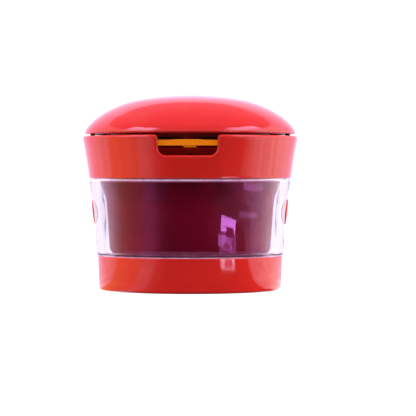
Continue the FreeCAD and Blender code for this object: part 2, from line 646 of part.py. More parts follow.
def blade_clamp():
    half = BLADE_T / 2
    plate = block((-half - CLAMP_T, -half), (BLADE_FRONT + 1, BLADE_BACK - 1), (CLAMP_BOTTOM, CLAMP_TOP))
    for hole in screw_line(CLAMP_SCREW[2] + PILOT, -FAR, 1):
        plate = plate.cut(hole)
    return plate


def clamp_screws():
    seat = -BLADE_T / 2 - CLAMP_T
    spots = [(seat, y, CLAMP_SCREW_Z) for y in CLAMP_SCREW_Y]
    return placed_screws(CLAMP_SCREW, CLAMP_SCREW_TIP - seat, spots, Y_AXIS, 90)


def blade_guard():
    """A narrow channel that covers the edge on both sides and pivots on its rear barrel."""
    profile = [(GUARD_NOSE, GUARD_LOW), (GUARD_HEEL_Y, GUARD_LOW), (PIVOT_Y + 1.4, PIVOT_Z - 1.1),
               (PIVOT_Y, PIVOT_Z), (PIVOT_Y - 1.3, PIVOT_Z + 1.2), (GUARD_SHOULDER_Y, GUARD_HIGH),
               (GUARD_NOSE, GUARD_HIGH)]
    channel = prism_x(profile, -GUARD_HALF, GUARD_HALF)
    channel = channel.cut(block((-GUARD_GAP, GUARD_GAP), (BLADE_FRONT - 1.2, GUARD_BACK_Y), (0, 2 * FAR)))
    barrel = cross_rod(PIVOT_R, -GUARD_HALF, GUARD_HALF, PIVOT_Y, PIVOT_Z)
    channel = joined(channel, barrel)
    return channel.cut(cross_rod(GUARD_PIN_R + HALF_FIT, -FAR, FAR, PIVOT_Y, PIVOT_Z))


def guard_pin():
    return cross_rod(GUARD_PIN_R, EAR_LEFT[0], EAR_RIGHT[1], PIVOT_Y, PIVOT_Z)


def guard_spring():
    """A torsion spring's coil on the guard's pin, beside the barrel."""
    helix = Part.makeHelix(SPRING_PITCH, SPRING_PITCH * SPRING_TURNS, SPRING_COIL_R)
    section = Part.Wire([Part.Circle(Vector(SPRING_COIL_R, 0, 0), Y_AXIS, SPRING_WIRE / 2).toShape()])
    coil = Part.Wire(helix.Edges).makePipeShell([section], True, True)
    coil.rotate(CENTRE, Y_AXIS, 90)
    coil.translate(Vector(GUARD_HALF + 0.4, PIVOT_Y, PIVOT_Z))
    return coil


MAKERS = {
    "base_shell": base_shell,
    "base_plate": base_plate,
    "base_screws": base_screws,
    "rubber_sole": rubber_sole,
    "clear_cup": clear_cup,
    "thumb_pad_right": thumb_pad,
    "thumb_pad_left": lambda: mirrored_x(thumb_pad()),
    "seal_ring": seal_ring,
    "collar": collar,
    "inner_cup": inner_cup,
    "cup_screws": cup_screws,
    "pill_tray": pill_tray,
    "tray_screws": tray_screws,
    "pill_grips": pill_grips,
    "hinge_pin": hinge_pin,
    "lid_shell": lid_shell,
    "lid_liner": lid_liner,
    "liner_screws": liner_screws,
    "lid_bumpers": lid_bumpers,
    "blade_holder": blade_holder,
    "blade": blade,
    "blade_clamp": blade_clamp,
    "clamp_screws": clamp_screws,
    "blade_guard": blade_guard,
    "guard_pin": guard_pin,
    "guard_spring": guard_spring,
}

os.makedirs("parts", exist_ok=True)
for part_name, make in MAKERS.items():
    save(part_name, make())
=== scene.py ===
# %% [markdown]
# # A round pill splitter, finished in Blender
#
# The design of this splitter is already packed as a CAD frame: a red base, a clear crushing
# cup, a turning head with a collar, and a domed lid on a hinge. This lesson dresses that
# frame. The frame fixes every size and every joint, so each new piece reads its place from
# it, and the work here goes into surfaces, plastics and light.

# %% Load the frame
import json
import math

import bpy
import numpy as np
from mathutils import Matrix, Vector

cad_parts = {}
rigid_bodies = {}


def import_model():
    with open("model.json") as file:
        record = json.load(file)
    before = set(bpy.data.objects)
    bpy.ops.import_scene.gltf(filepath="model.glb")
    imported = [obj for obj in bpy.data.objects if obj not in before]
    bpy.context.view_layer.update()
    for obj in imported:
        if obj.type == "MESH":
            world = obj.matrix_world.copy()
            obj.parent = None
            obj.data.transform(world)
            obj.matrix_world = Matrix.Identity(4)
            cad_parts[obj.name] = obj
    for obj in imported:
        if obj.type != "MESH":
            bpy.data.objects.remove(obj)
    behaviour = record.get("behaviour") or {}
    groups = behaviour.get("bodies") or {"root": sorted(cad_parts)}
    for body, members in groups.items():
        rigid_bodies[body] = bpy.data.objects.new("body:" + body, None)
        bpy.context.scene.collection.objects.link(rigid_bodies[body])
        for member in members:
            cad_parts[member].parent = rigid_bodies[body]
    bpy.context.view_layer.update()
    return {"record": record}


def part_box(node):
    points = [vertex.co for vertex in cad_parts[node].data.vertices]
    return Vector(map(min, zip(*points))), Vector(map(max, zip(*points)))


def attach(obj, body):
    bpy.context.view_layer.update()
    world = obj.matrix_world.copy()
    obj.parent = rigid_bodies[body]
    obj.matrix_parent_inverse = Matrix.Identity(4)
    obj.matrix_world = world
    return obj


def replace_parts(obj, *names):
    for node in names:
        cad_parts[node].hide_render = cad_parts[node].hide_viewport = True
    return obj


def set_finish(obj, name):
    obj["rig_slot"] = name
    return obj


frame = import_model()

MM = 0.001

# %% [markdown]
# ## Measuring from the frame
#
# A real finisher puts a caliper on the moulding instead of trusting a drawing. Round parts
# give their radius and their two levels that way, and later cells only use these names.

# %% Caliper readings


def levels(node):
    """Lowest and highest z of a node."""
    low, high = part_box(node)
    return low.z, high.z


def half_width(node):
    """Half of a node's width along X: the largest radius of a round part."""
    low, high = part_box(node)
    return (high.x - low.x) / 2


LID_EDGE, LID_APEX = 52.85 * MM, levels("lid_shell")[1]
LID_R = half_width("lid_shell")
COLLAR_FOOT, COLLAR_RIM = levels("collar")[0], 52.2 * MM
COLLAR_R = half_width("collar")
BASE_FOOT, BASE_TOP = levels("base_shell")
BASE_R = half_width("base_shell")
CUP_R = half_width("clear_cup")
print("lid r %.2f, collar r %.2f, base r %.2f mm" % (LID_R / MM, COLLAR_R / MM, BASE_R / MM))

# %% [markdown]
# ## The camera first
#
# The camera is set before any surface, so that each finish can be judged from the place it
# will be seen from. It stands level, about an arm's length away, with a long lens, because
# a long lens keeps the rims of a small round object nearly straight. The object is left of
# the middle, which the lens shift does without tilting the camera.

# %% Camera
VIEW_DISTANCE = 0.73
EYE_HEIGHT = 0.0394
TURN = math.radians(1.4)
LENS, LENS_SHIFT = 185.5, (0.043, -0.0820)
camera_data = bpy.data.cameras.new("studio_camera")
camera_data.sensor_width = 36.0
camera_data.lens = LENS
camera_data.shift_x, camera_data.shift_y = LENS_SHIFT
camera_data.clip_start = 0.01
camera = bpy.data.objects.new("studio_camera", camera_data)
camera.location = (VIEW_DISTANCE * math.sin(TURN), -VIEW_DISTANCE * math.cos(TURN), EYE_HEIGHT)
camera.rotation_euler = (math.pi / 2, 0, TURN)
bpy.context.scene.collection.objects.link(camera)
bpy.context.scene.camera = camera
print("camera at", [round(v, 3) for v in camera.location])

# %% [markdown]
# ## Surfaces from arrays
#
# Every shell of this object was turned on a lathe or moulded in a round tool. Blender could
# spin a curve with a Screw modifier, but a plain array is easier to bend afterwards, as the
# notch and the thumb recesses need. So a shape here is a grid of points: one way along the
# section of the wall, the other way round the axis. The faces come from one index
# calculation, and a row of points that meets the axis is closed with a single pole point.

# %% Meshes from grids


def finish_mesh(name, vertices, faces, body, slot, smooth=True):
    """Makes an object from a point array and face lists, and lets it ride on its CAD body."""
    mesh = bpy.data.meshes.new(name)
    mesh.from_pydata(vertices, [], faces)
    mesh.polygons.foreach_set("use_smooth", np.full(len(mesh.polygons), smooth))
    mesh.validate()
    piece = bpy.data.objects.new(name, mesh)
    bpy.context.scene.collection.objects.link(piece)
    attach(piece, body)
    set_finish(piece, slot)
    counts = len(mesh.vertices), len(mesh.polygons)
    print("%-18s %6d points %6d faces on %s" % (name, *counts, body))
    return piece


def grid_faces(rows, columns, close_rows, first=0):
    """Quads of a grid whose columns run right round; close_rows joins the last row to the first.
    Corner k of a quad is the index row * columns + column of one of its four neighbours."""
    row, column = np.meshgrid(np.arange(rows if close_rows else rows - 1), np.arange(columns), indexing="ij")
    up, right = (row + 1) % rows, (column + 1) % columns
    quads = np.stack([row * columns + column, row * columns + right,
                      up * columns + right, up * columns + column], -1)
    return (quads.reshape(-1, 4) + first).tolist()


def pole_faces(columns, ring_start, pole, upwards):
    """A fan of triangles from one ring of points to a pole point on the axis."""
    a = ring_start + np.arange(columns)
    b = ring_start + (np.arange(columns) + 1) % columns
    fan = np.stack([a, b, np.full(columns, pole)] if upwards else [b, a, np.full(columns, pole)], -1)
    return fan.tolist()


print("a grid of 3 rows and 4 columns has", len(grid_faces(3, 4, close_rows=False)), "quads")

# %% [markdown]
# A turned body needs only its section and the number of columns round it. A section that
# touches the axis at both ends is solid and gets two poles, and any other is a ring.

# %% Turned bodies


def turned_grid(profile, columns):
    """Turns a section about Z: a section point (r, z) goes to (r sin t, -r cos t, z), where the
    angle t starts at the front and runs towards +X. Returns points shaped (rows, columns, 3)."""
    angle = np.arange(columns) * 2 * np.pi / columns
    r, z = profile[:, :1], profile[:, 1:]
    flat = np.ones_like(angle)
    return np.stack([r * np.sin(angle), -r * np.cos(angle), z * flat], -1)


def turned_piece(name, profile, body, slot, columns=256, shape=None):
    """A closed turned body. The section runs anticlockwise in (r, z); one that starts and ends on
    the axis gets two poles, and any other is joined end to start. shape may bend the points."""
    on_axis = profile[0, 0] < 1e-9 and profile[-1, 0] < 1e-9
    rings = profile[1:-1] if on_axis else profile
    points = turned_grid(rings, columns)
    if shape is not None:
        points = shape(points)
    vertices = points.reshape(-1, 3)
    faces = grid_faces(len(rings), columns, close_rows=not on_axis)
    if on_axis:
        poles = np.array([[0, 0, profile[0, 1]], [0, 0, profile[-1, 1]]])
        faces += pole_faces(columns, 0, len(vertices), upwards=False)
        faces += pole_faces(columns, (len(rings) - 1) * columns, len(vertices) + 1, upwards=True)
        vertices = np.concatenate([vertices, poles])
    return finish_mesh(name, vertices, faces, body, slot)


print("one section point turned in 8 columns:", turned_grid(np.array([[1.0, 0.0]]), 8).shape)

# %% [markdown]
# A moulded edge is never sharp, and a lathe section drawn with bare corners would shine like
# folded paper. The next helper takes a section's corner points, each with a radius, and puts
# a true arc there. It also adds two points close to the ends of each straight run, so that
# smooth shading stays in the round corner and leaves the flat wall flat.

# %% Sections with rounded corners


def corner_arc(before, corner, after, radius, steps):
    """Points of the arc of that radius that touches both sides of a corner. It starts and ends
    where the sides are radius / tan(half the corner's angle) away from the corner."""
    a, b = before - corner, after - corner
    a, b = a / np.hypot(*a), b / np.hypot(*b)
    half = math.acos(np.clip(a @ b, -1, 1)) / 2
    centre = corner + (a + b) / np.hypot(*(a + b)) * radius / math.sin(half)
    start, end = (corner + side * radius / math.tan(half) - centre for side in (a, b))
    first = math.atan2(start[1], start[0])
    sweep = (math.atan2(end[1], end[0]) - first + math.pi) % (2 * math.pi) - math.pi
    angle = first + sweep * np.linspace(0, 1, steps)
    return centre + radius * np.stack([np.cos(angle), np.sin(angle)], -1)


def run_between(a, b, step, guard=0.12 * MM):
    """Points strictly between two ends: one a little way in from each, and even ones between."""
    length = np.hypot(*(b - a))
    if length < 4 * guard:
        return np.empty((0, 2))
    count = max(int(length / step), 1)
    share = np.linspace(guard / length, 1 - guard / length, count + 1)
    return a + share[:, None] * (b - a)


def section(corners, step=1.5 * MM, steps=7, closed=False):
    """A wall section from (r, z, corner radius) rows, as an array of points. Ends of an open
    section stay sharp, because they lie on the axis."""
    spots = np.array(corners, float) * MM
    count = len(spots)
    pieces = []
    for i, (r, z, radius) in enumerate(spots):
        here = np.array([r, z])
        if radius > 0 and (closed or 0 < i < count - 1):
            pieces.append(corner_arc(spots[i - 1, :2], here, spots[(i + 1) % count, :2], radius, steps))
        else:
            pieces.append(here[None])
    out = []
    for i, piece in enumerate(pieces):
        out.append(piece)
        if closed or i < count - 1:
            out.append(run_between(piece[-1], pieces[(i + 1) % count][0], step))
    return np.concatenate(out)


print("a wall with one rounded corner:", len(section([(0, 0, 0), (10, 0, 2), (10, 5, 0)])), "points")

# %% [markdown]
# ## Base ring
#
# The base is a plain red ring, a touch wider at its top. Its foot is rounded, and it stands
# a hair above the table on its rubber sole, so a thin dark line shows under it.

# %% Base ring
SPIGOT_BORE = 29.3
base_section = section([
    (SPIGOT_BORE, BASE_TOP / MM, 0.15), (SPIGOT_BORE, BASE_FOOT / MM, 0.3),
    (BASE_R / MM - 0.5, BASE_FOOT / MM, 0.8), (BASE_R / MM, BASE_TOP / MM, 0.22),
], closed=True)
base_ring = turned_piece("base_ring", base_section, "base", "body_red")
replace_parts(base_ring, "base_shell")

# %% [markdown]
# ## Clear cup
#
# The cup is one clear moulding: a thick floor, a tapered wall, and a narrower neck that goes
# up inside the collar. On each side a finger has a shallow recess. A boolean cut would do,
# but the recess is the part of a lying cylinder that overlaps the wall, so it is enough to
# push each point in that cylinder back to its surface, and the grid stays even, which clear
# plastic shows at once if it is not so.

# %% Thumb recesses
CUP_FOOT, CUP_RIM = (z / MM for z in levels("clear_cup"))
CUP_FLOOR, CUP_SHOULDER = CUP_FOOT + 3.2, 37.6
CUP_R_LOW, SPIGOT_R, NECK_R, NECK_BORE, FLOOR_BORE = 31.65, 29.1, 32.5, 31.2, 29.2
THUMB_Z, THUMB_DEPTH, THUMB_CUT_R, THUMB_BLEND = 26.5 * MM, 0.9 * MM, 64.0 * MM, 0.06 * MM


def cup_radius(z):
    """Outer radius of the straight tapered wall at a height."""
    share = (z - BASE_TOP) / (CUP_SHOULDER * MM - BASE_TOP)
    return CUP_R_LOW * MM + share * (CUP_R - CUP_R_LOW * MM)


def thumb_floor(z):
    """How far out a thumb recess leaves the wall: the near side of a lying cylinder whose axis is
    one radius, less the depth of the recess, out from the wall along the wall's own normal."""
    slope = math.atan2(CUP_R - CUP_R_LOW * MM, CUP_SHOULDER * MM - BASE_TOP)
    reach = THUMB_CUT_R - THUMB_DEPTH
    axis_x = cup_radius(THUMB_Z) + reach * math.cos(slope)
    axis_z = THUMB_Z - reach * math.sin(slope)
    return axis_x - np.sqrt(np.maximum(THUMB_CUT_R ** 2 - (z - axis_z) ** 2, 0))


def soft_min(a, b, blend):
    """The smaller of two values, rounded where they meet: their mean less half of the root of
    their difference squared plus the blend squared."""
    return (a + b - np.sqrt((a - b) ** 2 + blend ** 2)) / 2 + blend / 4


def with_thumb_recesses(points):
    """Presses both thumb recesses into the outer wall of the cup."""
    x, y, z = points[..., 0], points[..., 1], points[..., 2]
    radius = np.hypot(x, y)
    outside = (z > BASE_TOP) & (z < CUP_SHOULDER * MM) & (radius > CUP_R_LOW * MM - 1e-6)
    recess = soft_min(np.abs(x), thumb_floor(z), THUMB_BLEND)
    pressed = np.sign(x) * np.minimum(np.abs(x), recess)
    points[..., 0] = np.where(outside & (np.abs(x) > 0.8 * radius), pressed, x)
    return points


print("a recess leaves the wall at x = %.2f mm" % (thumb_floor(THUMB_Z) / MM))

# %% [markdown]
# The cup's section is read from its foot outwards: the spigot that sits in the base, the
# tapered wall, the shoulder on which the collar rests, and the neck. Then it comes back down
# inside to the thick floor. Its points lie close together, because a recess is pressed later
# and needs some to bend.

# %% Clear cup
CUP_SEAT = BASE_TOP / MM + 0.05
cup_section = section([
    (0, CUP_FOOT, 0), (SPIGOT_R, CUP_FOOT, 0.2), (SPIGOT_R, CUP_SEAT, 0), (CUP_R_LOW, CUP_SEAT, 0.25),
    (CUP_R / MM, CUP_SHOULDER, 0.35), (NECK_R, CUP_SHOULDER, 0.3), (NECK_R, CUP_RIM, 0.5),
    (NECK_BORE, CUP_RIM, 0.4), (NECK_BORE, CUP_SHOULDER, 6.0), (FLOOR_BORE, CUP_FLOOR, 1.8),
    (0, CUP_FLOOR, 0),
], step=0.6 * MM)
clear_cup = turned_piece("crushing_cup", cup_section, "base", "clear", columns=320,
                         shape=with_thumb_recesses)
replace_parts(clear_cup, "clear_cup")

# %% [markdown]
# ## Thumb pads
#
# Each recess holds a soft oval pad. Its outline is an ellipse and its face is very slightly
# crowned, with a rounded edge. A polar grid fits an oval well: rings that shrink to the
# middle, and one pole.

# %% Thumb pads
PAD_HALF_W, PAD_HALF_H = 6.45 * MM, 4.3 * MM
PAD_ROUND, PAD_RISE, PAD_CROWN, PAD_SUNK = 0.35 * MM, 0.2 * MM, 0.30 * MM, 0.3 * MM
PAD_COLUMNS, PAD_RINGS = 72, 9


def thumb_pad(name, side):
    """A pad from rings that run from the back of its edge, over the rounded rim, to the middle.
    Ring s has the oval scaled by s, and stands out from the recess by its own height."""
    turn = np.arange(PAD_COLUMNS) * 2 * np.pi / PAD_COLUMNS
    bend = np.linspace(0, np.pi / 2, 6)
    rounding = 1 - PAD_ROUND / PAD_HALF_H * (1 - np.cos(bend))
    scale = np.concatenate([[1.0], rounding, np.linspace(0.88, 0.08, PAD_RINGS)])
    lift = np.concatenate([[-PAD_SUNK], PAD_ROUND * np.sin(bend) + PAD_RISE,
                           np.full(PAD_RINGS, PAD_ROUND + PAD_RISE)])
    y = scale[:, None] * PAD_HALF_W * np.cos(turn)
    z = THUMB_Z + scale[:, None] * PAD_HALF_H * np.sin(turn)
    crown = PAD_CROWN * (1 - scale ** 2)
    x = thumb_floor(z) + (lift + crown)[:, None]
    rings = np.stack([side * x, -y * side, z], -1)
    middle = np.array([[side * (thumb_floor(THUMB_Z) + lift[-1] + PAD_CROWN), 0, THUMB_Z]])
    back = np.array([[side * (thumb_floor(THUMB_Z) + lift[0]), 0, THUMB_Z]])
    count = PAD_COLUMNS
    faces = grid_faces(len(rings), count, close_rows=False)
    faces += pole_faces(count, (len(rings) - 1) * count, len(rings) * count, upwards=True)
    faces += pole_faces(count, 0, len(rings) * count + 1, upwards=False)
    faces = [face[::-1] for face in faces]
    vertices = np.concatenate([rings.reshape(-1, 3), middle, back])
    return finish_mesh(name, vertices, faces, "base", "pad_rubber")


for pad_side, pad_node in ((1, "thumb_pad_right"), (-1, "thumb_pad_left")):
    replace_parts(thumb_pad(pad_node + "_soft", pad_side), pad_node)

# %% [markdown]
# ## Inner cup
#
# Inside the clear cup hangs the red core, in which the cut halves are kept. It is a thin
# cup with a rounded foot and a cove under its flange, and its red plastic lets some light
# through, so both its walls matter.

# %% Inner cup
CORE_FOOT = levels("inner_cup")[0] / MM + 0.35
CORE_FLOOR, SHELF_FOOT = CORE_FOOT + 1.5, 43.4
core_section = section([
    (0, CORE_FOOT, 0), (27.2, CORE_FOOT, 2.6), (28.5, 31.0, 14.0), (30.9, 37.6, 5.0),
    (30.9, SHELF_FOOT, 0.3), (29.4, SHELF_FOOT, 0.3), (29.4, 38.2, 5.0), (27.0, 31.2, 12.0),
    (25.7, CORE_FLOOR, 1.2), (0, CORE_FLOOR, 0),
], step=0.8 * MM)
inner_core = turned_piece("inner_core", core_section, "head", "core_red")
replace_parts(inner_core, "inner_cup")

# %% [markdown]
# ## Collar and its finger notch
#
# The collar flares upwards and has a notch at the front, where a fingertip lifts the lid.
# Cutting the notch with a boolean leaves ragged faces that a bevel can't follow. Instead
# the rim is drawn as a path: round the collar, down into the notch, along its floor and up
# again. Every section of the wall ends on that path, and its edge is rounded there, so the
# notch gets the same soft bright lip as the moulding.

# %% Rim path
NOTCH_HALF_W, NOTCH_FLOOR = 9.95 * MM, 45.45 * MM
NOTCH_FOOT_R, NOTCH_TOP_R = 2.6 * MM, 1.0 * MM
COLLAR_R_LOW, COLLAR_R_MID = 34.3 * MM, 35.28 * MM
EDGE_R, NOTCH_EDGE_R = 0.62 * MM, 0.95 * MM
UNROLL_R = 36.0 * MM
HALF_LAP = math.pi * UNROLL_R
COARSE_STEP, FINE_STEP, FINE_REACH = 1.0 * MM, 0.28 * MM, 3 * MM


def collar_radius(z):
    """Outer radius of the collar: the parabola through its foot, middle and rim radii."""
    top = COLLAR_RIM - 0.85 * MM
    t = (z - COLLAR_FOOT) / (top - COLLAR_FOOT)
    bow = 4 * (COLLAR_R_MID - (COLLAR_R_LOW + COLLAR_R) / 2)
    return np.minimum(COLLAR_R_LOW + t * (COLLAR_R - COLLAR_R_LOW) + bow * t * (1 - t), COLLAR_R)


def evenly(points, step):
    """Points at even distances along a run of points, its start included and its end left out."""
    length = np.concatenate([[0], np.cumsum(np.hypot(*np.diff(points, axis=0).T))])
    count = max(int(round(length[-1] / step)), 1)
    at = np.linspace(0, length[-1], count + 1)[:-1]
    return np.stack([np.interp(at, length, points[:, k]) for k in (0, 1)], -1)


def rim_path():
    """The rim in unrolled (distance round, height) coordinates, from the back, past the front
    notch and on to the back. Its four notch corners are arcs."""
    side, floor, top = NOTCH_HALF_W * 1.013, NOTCH_FLOOR, COLLAR_RIM
    spots = np.array([(-side, top), (-side, floor), (side, floor), (side, top)])
    far = np.array([(-2 * side, top), (2 * side, top)])
    chain = np.concatenate([far[:1], spots, far[1:]])
    arcs = [corner_arc(chain[i - 1], chain[i], chain[i + 1], r, 14)
            for i, r in zip((1, 2, 3, 4), (NOTCH_TOP_R, NOTCH_FOOT_R, NOTCH_FOOT_R, NOTCH_TOP_R))]
    start, end = np.array([[-HALF_LAP, top]]), np.array([[HALF_LAP, top]])
    left, right = arcs[0][:1] - [[FINE_REACH, 0]], arcs[3][-1:] + [[FINE_REACH, 0]]
    runs = (([start, left], COARSE_STEP), ([left, *arcs, right], FINE_STEP), ([right, end], COARSE_STEP))
    return np.concatenate([evenly(np.concatenate(run), step) for run, step in runs])


path = rim_path()
print("rim path of %d points, lowest %.1f mm" % (len(path), path[:, 1].min() / MM))

# %% [markdown]
# The rounded edge lies beside the path, so each point of the path also needs the direction
# that leads out of the wall, at right angles to the path, and the radius of its edge. The
# notch has a softer edge than the rest of the rim, and the radius grows towards it smoothly.

# %% Edge of the rim
path_step = np.roll(path, -1, 0) - np.roll(path, 1, 0)
path_step[:, 0] = (path_step[:, 0] + HALF_LAP) % (2 * HALF_LAP) - HALF_LAP
path_step /= np.hypot(*path_step.T)[:, None]
outward = np.stack([-path_step[:, 1], path_step[:, 0]], -1)
near_notch = np.clip((NOTCH_HALF_W + 3.0 * MM - np.abs(path[:, 0])) / (2.0 * MM), 0, 1)
edge_r = EDGE_R + (NOTCH_EDGE_R - EDGE_R) * near_notch ** 2 * (3 - 2 * near_notch)
print("edge radius from %.2f to %.2f mm" % (edge_r.min() / MM, edge_r.max() / MM))

# %% [markdown]
# The collar's surface follows the path in three bands. The outer wall rises to a line just
# short of the path. A quarter circle then rolls over the edge. The land runs inwards, and
# the inner wall drops to the shelf. In the notch the side faces run straight back, so the
# inner edge is matched to the outer one by x and not by angle.

# %% Collar walls
INNER_R, LIP_BORE = 33.5 * MM, 32.3 * MM
LIP_FOOT, LIP_RISE, LAND_DROP = 50.0 * MM, 0.7 * MM, 0.12 * MM
SHELF_TOP = 45.4
SEAT_R = 32.85
MATCHED_TO, MATCH_FADE, MATCH_LIMIT = 0.31, 0.25, 1.2


def inner_radius(z):
    """Inner radius above the shelf: the rim has a lip that stands in over the wall. The step is
    the smooth curve 3 t squared less 2 t cubed."""
    lip = np.clip((z - LIP_FOOT) / LIP_RISE, 0, 1)
    return INNER_R + (LIP_BORE - INNER_R) * lip * lip * (3 - 2 * lip)


def straight_back(angle, r_out, radius):
    """The angle on a smaller radius that has the outer point's x. That holds in the notch, and
    further round it fades into the outer point's own angle."""
    matched = np.arcsin(np.clip(r_out * np.sin(angle) / radius, -0.99, 0.99))
    away = np.clip((np.abs(angle) - MATCHED_TO) / MATCH_FADE, 0, 1)
    return np.where(np.abs(angle) < MATCH_LIMIT, (1 - away) * matched + away * angle, angle)


def on_collar(angle, radius, z):
    """Points at an angle from the front, a radius and a height."""
    return np.stack([radius * np.sin(angle), -radius * np.cos(angle), z], -1)


def collar_points():
    """Rows of points from the collar's inner foot, up its outer wall, over the rim, down its
    inner wall and round the shelf. A wall point is the mix of its foot and rim points."""
    length = np.concatenate([[0], np.cumsum(np.hypot(*np.diff(path, axis=0).T))])
    lap = length[-1] + HALF_LAP - path[-1, 0]
    angle_foot = math.pi * (2 * length / lap - 1)
    ones = np.ones_like(angle_foot)
    rows = [on_collar(angle_foot, SEAT_R * MM * ones, (COLLAR_FOOT + 0.15 * MM) * ones),
            on_collar(angle_foot, 33.0 * MM * ones, COLLAR_FOOT * ones),
            on_collar(angle_foot, (COLLAR_R_LOW - 0.25 * MM) * ones, COLLAR_FOOT * ones),
            on_collar(angle_foot, (COLLAR_R_LOW - 0.07 * MM) * ones, (COLLAR_FOOT + 0.07 * MM) * ones)]
    wall_top = path - edge_r[:, None] * outward
    for share in np.concatenate([[0.02], np.linspace(0.04, 0.985, 22), [1.0]]):
        z = COLLAR_FOOT + share * (wall_top[:, 1] - COLLAR_FOOT)
        mix = share ** 1.5
        angle = (1 - mix) * angle_foot + mix * wall_top[:, 0] / UNROLL_R
        rows.append(on_collar(angle, collar_radius(z), z))
    for bend in np.linspace(0, np.pi / 2, 7)[1:]:
        edge = path - (edge_r * (1 - math.sin(bend)))[:, None] * outward
        radius = collar_radius(edge[:, 1]) - edge_r * (1 - math.cos(bend))
        rows.append(on_collar(edge[:, 0] / UNROLL_R, radius, edge[:, 1]))
    angle_out, z_rim = path[:, 0] / UNROLL_R, path[:, 1]
    r_out, r_in = collar_radius(z_rim) - edge_r, inner_radius(z_rim)
    for share in (0.05, 0.35, 0.65, 0.93, 1.0):
        radius = r_out + share * (r_in - r_out)
        angle_in = straight_back(angle_out, r_out, radius)
        rows.append(on_collar(angle_in, radius, z_rim - (LAND_DROP if share == 1.0 else 0)))
    for share in (0.1, 0.3, 0.5, 0.7, 0.9, 1.0):
        z = z_rim - LAND_DROP + share * (SHELF_TOP * MM - z_rim)
        angle = (1 - share) * angle_in + share * angle_foot
        rows.append(on_collar(angle, inner_radius(z), z))
    for radius, z in ((26.3, SHELF_TOP), (26.0, 45.1), (26.0, 43.7), (26.3, SHELF_FOOT),
                      (32.6, SHELF_FOOT), (SEAT_R, 43.2), (SEAT_R, 41.0)):
        rows.append(on_collar(angle_foot, radius * MM * ones, z * MM * ones))
    return np.stack(rows)


rows = collar_points()
print("collar grid of %d rows and %d columns" % rows.shape[:2])

# %% [markdown]
# At the back the lid's hinge barrel turns close to the collar, so the wall gives way there in
# a shallow hollow that is a little wider than the barrel.

# %% Hinge relief and the collar
HINGE_Y, HINGE_Z = 38.2 * MM, 52.7 * MM
KNUCKLE_R, KNUCKLE_HALF, KNUCKLE_GAP = 2.3 * MM, 4.6 * MM, 0.35 * MM


def with_hinge_relief(points):
    """Hollows the back of the collar where the lid's barrel turns: a point there stays in front
    of a cylinder a little larger than the barrel."""
    x, y, z = points[..., 0], points[..., 1], points[..., 2]
    room = KNUCKLE_R + KNUCKLE_GAP
    front = HINGE_Y - np.sqrt(np.maximum(room ** 2 - (z - HINGE_Z) ** 2, 0))
    near = (np.abs(x) < KNUCKLE_HALF + KNUCKLE_GAP) & (np.abs(z - HINGE_Z) < room) & (y > 0)
    points[..., 1] = np.where(near, np.minimum(y, front), y)
    return points


rows = with_hinge_relief(rows)
collar_ring = finish_mesh("collar_ring", rows.reshape(-1, 3),
                          grid_faces(*rows.shape[:2], close_rows=True), "head", "body_red")
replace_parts(collar_ring, "collar")

# %% [markdown]
# ## Hinge knuckles
#
# Behind the collar two barrels carry a steel pin, and the lid's own barrel turns between
# them. Each is an outline carried along the pin: a barrel and the web that joins it to its
# shell. A Bevel modifier then takes the sharpness off the ends, as the mould does.

# %% Outline solids
EDGE_BEVEL, BEVEL_SEGMENTS, BEVEL_FROM = 0.25 * MM, 3, math.radians(40)


def outline_solid(name, outline, x_low, x_high, body, slot):
    """Carries a closed (y, z) outline along X and caps both ends with one flat face each."""
    count = len(outline)
    ends = [np.column_stack([np.full(count, x), outline]) for x in (x_low, x_high)]
    faces = grid_faces(2, count, close_rows=False)
    faces += [list(range(count))[::-1], list(range(count, 2 * count))]
    area = outline[:, 0] @ np.roll(outline[:, 1], -1) - outline[:, 1] @ np.roll(outline[:, 0], -1)
    if area < 0:
        faces = [face[::-1] for face in faces]
    piece = finish_mesh(name, np.concatenate(ends), faces, body, slot, smooth=False)
    cut = piece.modifiers.new("moulded_edges", "BEVEL")
    cut.width, cut.segments = EDGE_BEVEL, BEVEL_SEGMENTS
    cut.limit_method, cut.angle_limit = "ANGLE", BEVEL_FROM
    cut.harden_normals = False
    return piece


def barrel_arc(start_degrees, end_degrees, radius=KNUCKLE_R, steps=36):
    """Points on a barrel's circle, at angles from +Y towards +Z."""
    a = np.radians(np.linspace(start_degrees, end_degrees, steps))
    return np.stack([HINGE_Y + radius * np.cos(a), HINGE_Z + radius * np.sin(a)], -1)


print("hinge axis at y %.1f, z %.1f mm" % (HINGE_Y / MM, HINGE_Z / MM))

# %% [markdown]
# The collar's webs slope down into its back wall, and the lid's bridge runs level into the
# dome. Each outline is the barrel's arc with the web's few corner points added.

# %% Knuckles
web_foot = np.array([(35.2, 51.6), (34.6, 46.8), (35.9, 46.6)]) * MM
knuckle_outline = np.concatenate([barrel_arc(-15, 195), web_foot])
bridge_foot = np.array([(34.9, 53.45), (34.9, 55.3)]) * MM
lid_knuckle_outline = np.concatenate([barrel_arc(-188, 90), bridge_foot[::-1]])
inner_x, outer_x = KNUCKLE_HALF + KNUCKLE_GAP, 9.35 * MM
for side_name, x_low, x_high in (("right", inner_x, outer_x), ("left", -outer_x, -inner_x)):
    outline_solid("collar_knuckle_" + side_name, knuckle_outline, x_low, x_high, "head", "body_red")
outline_solid("lid_knuckle", lid_knuckle_outline, -KNUCKLE_HALF, KNUCKLE_HALF, "lid", "lid_red")

# %% [markdown]
# ## Lid
#
# The lid's section is four arcs that touch: a nearly flat crown, a rounder shoulder, the brow,
# and a tight roll at its edge. Because each arc starts at the angle where the one before it
# ended, the gloss runs over the dome without a kink. The tight roll is what catches the side
# lights as a thin bright line, and under it the lip turns in and stays dark.

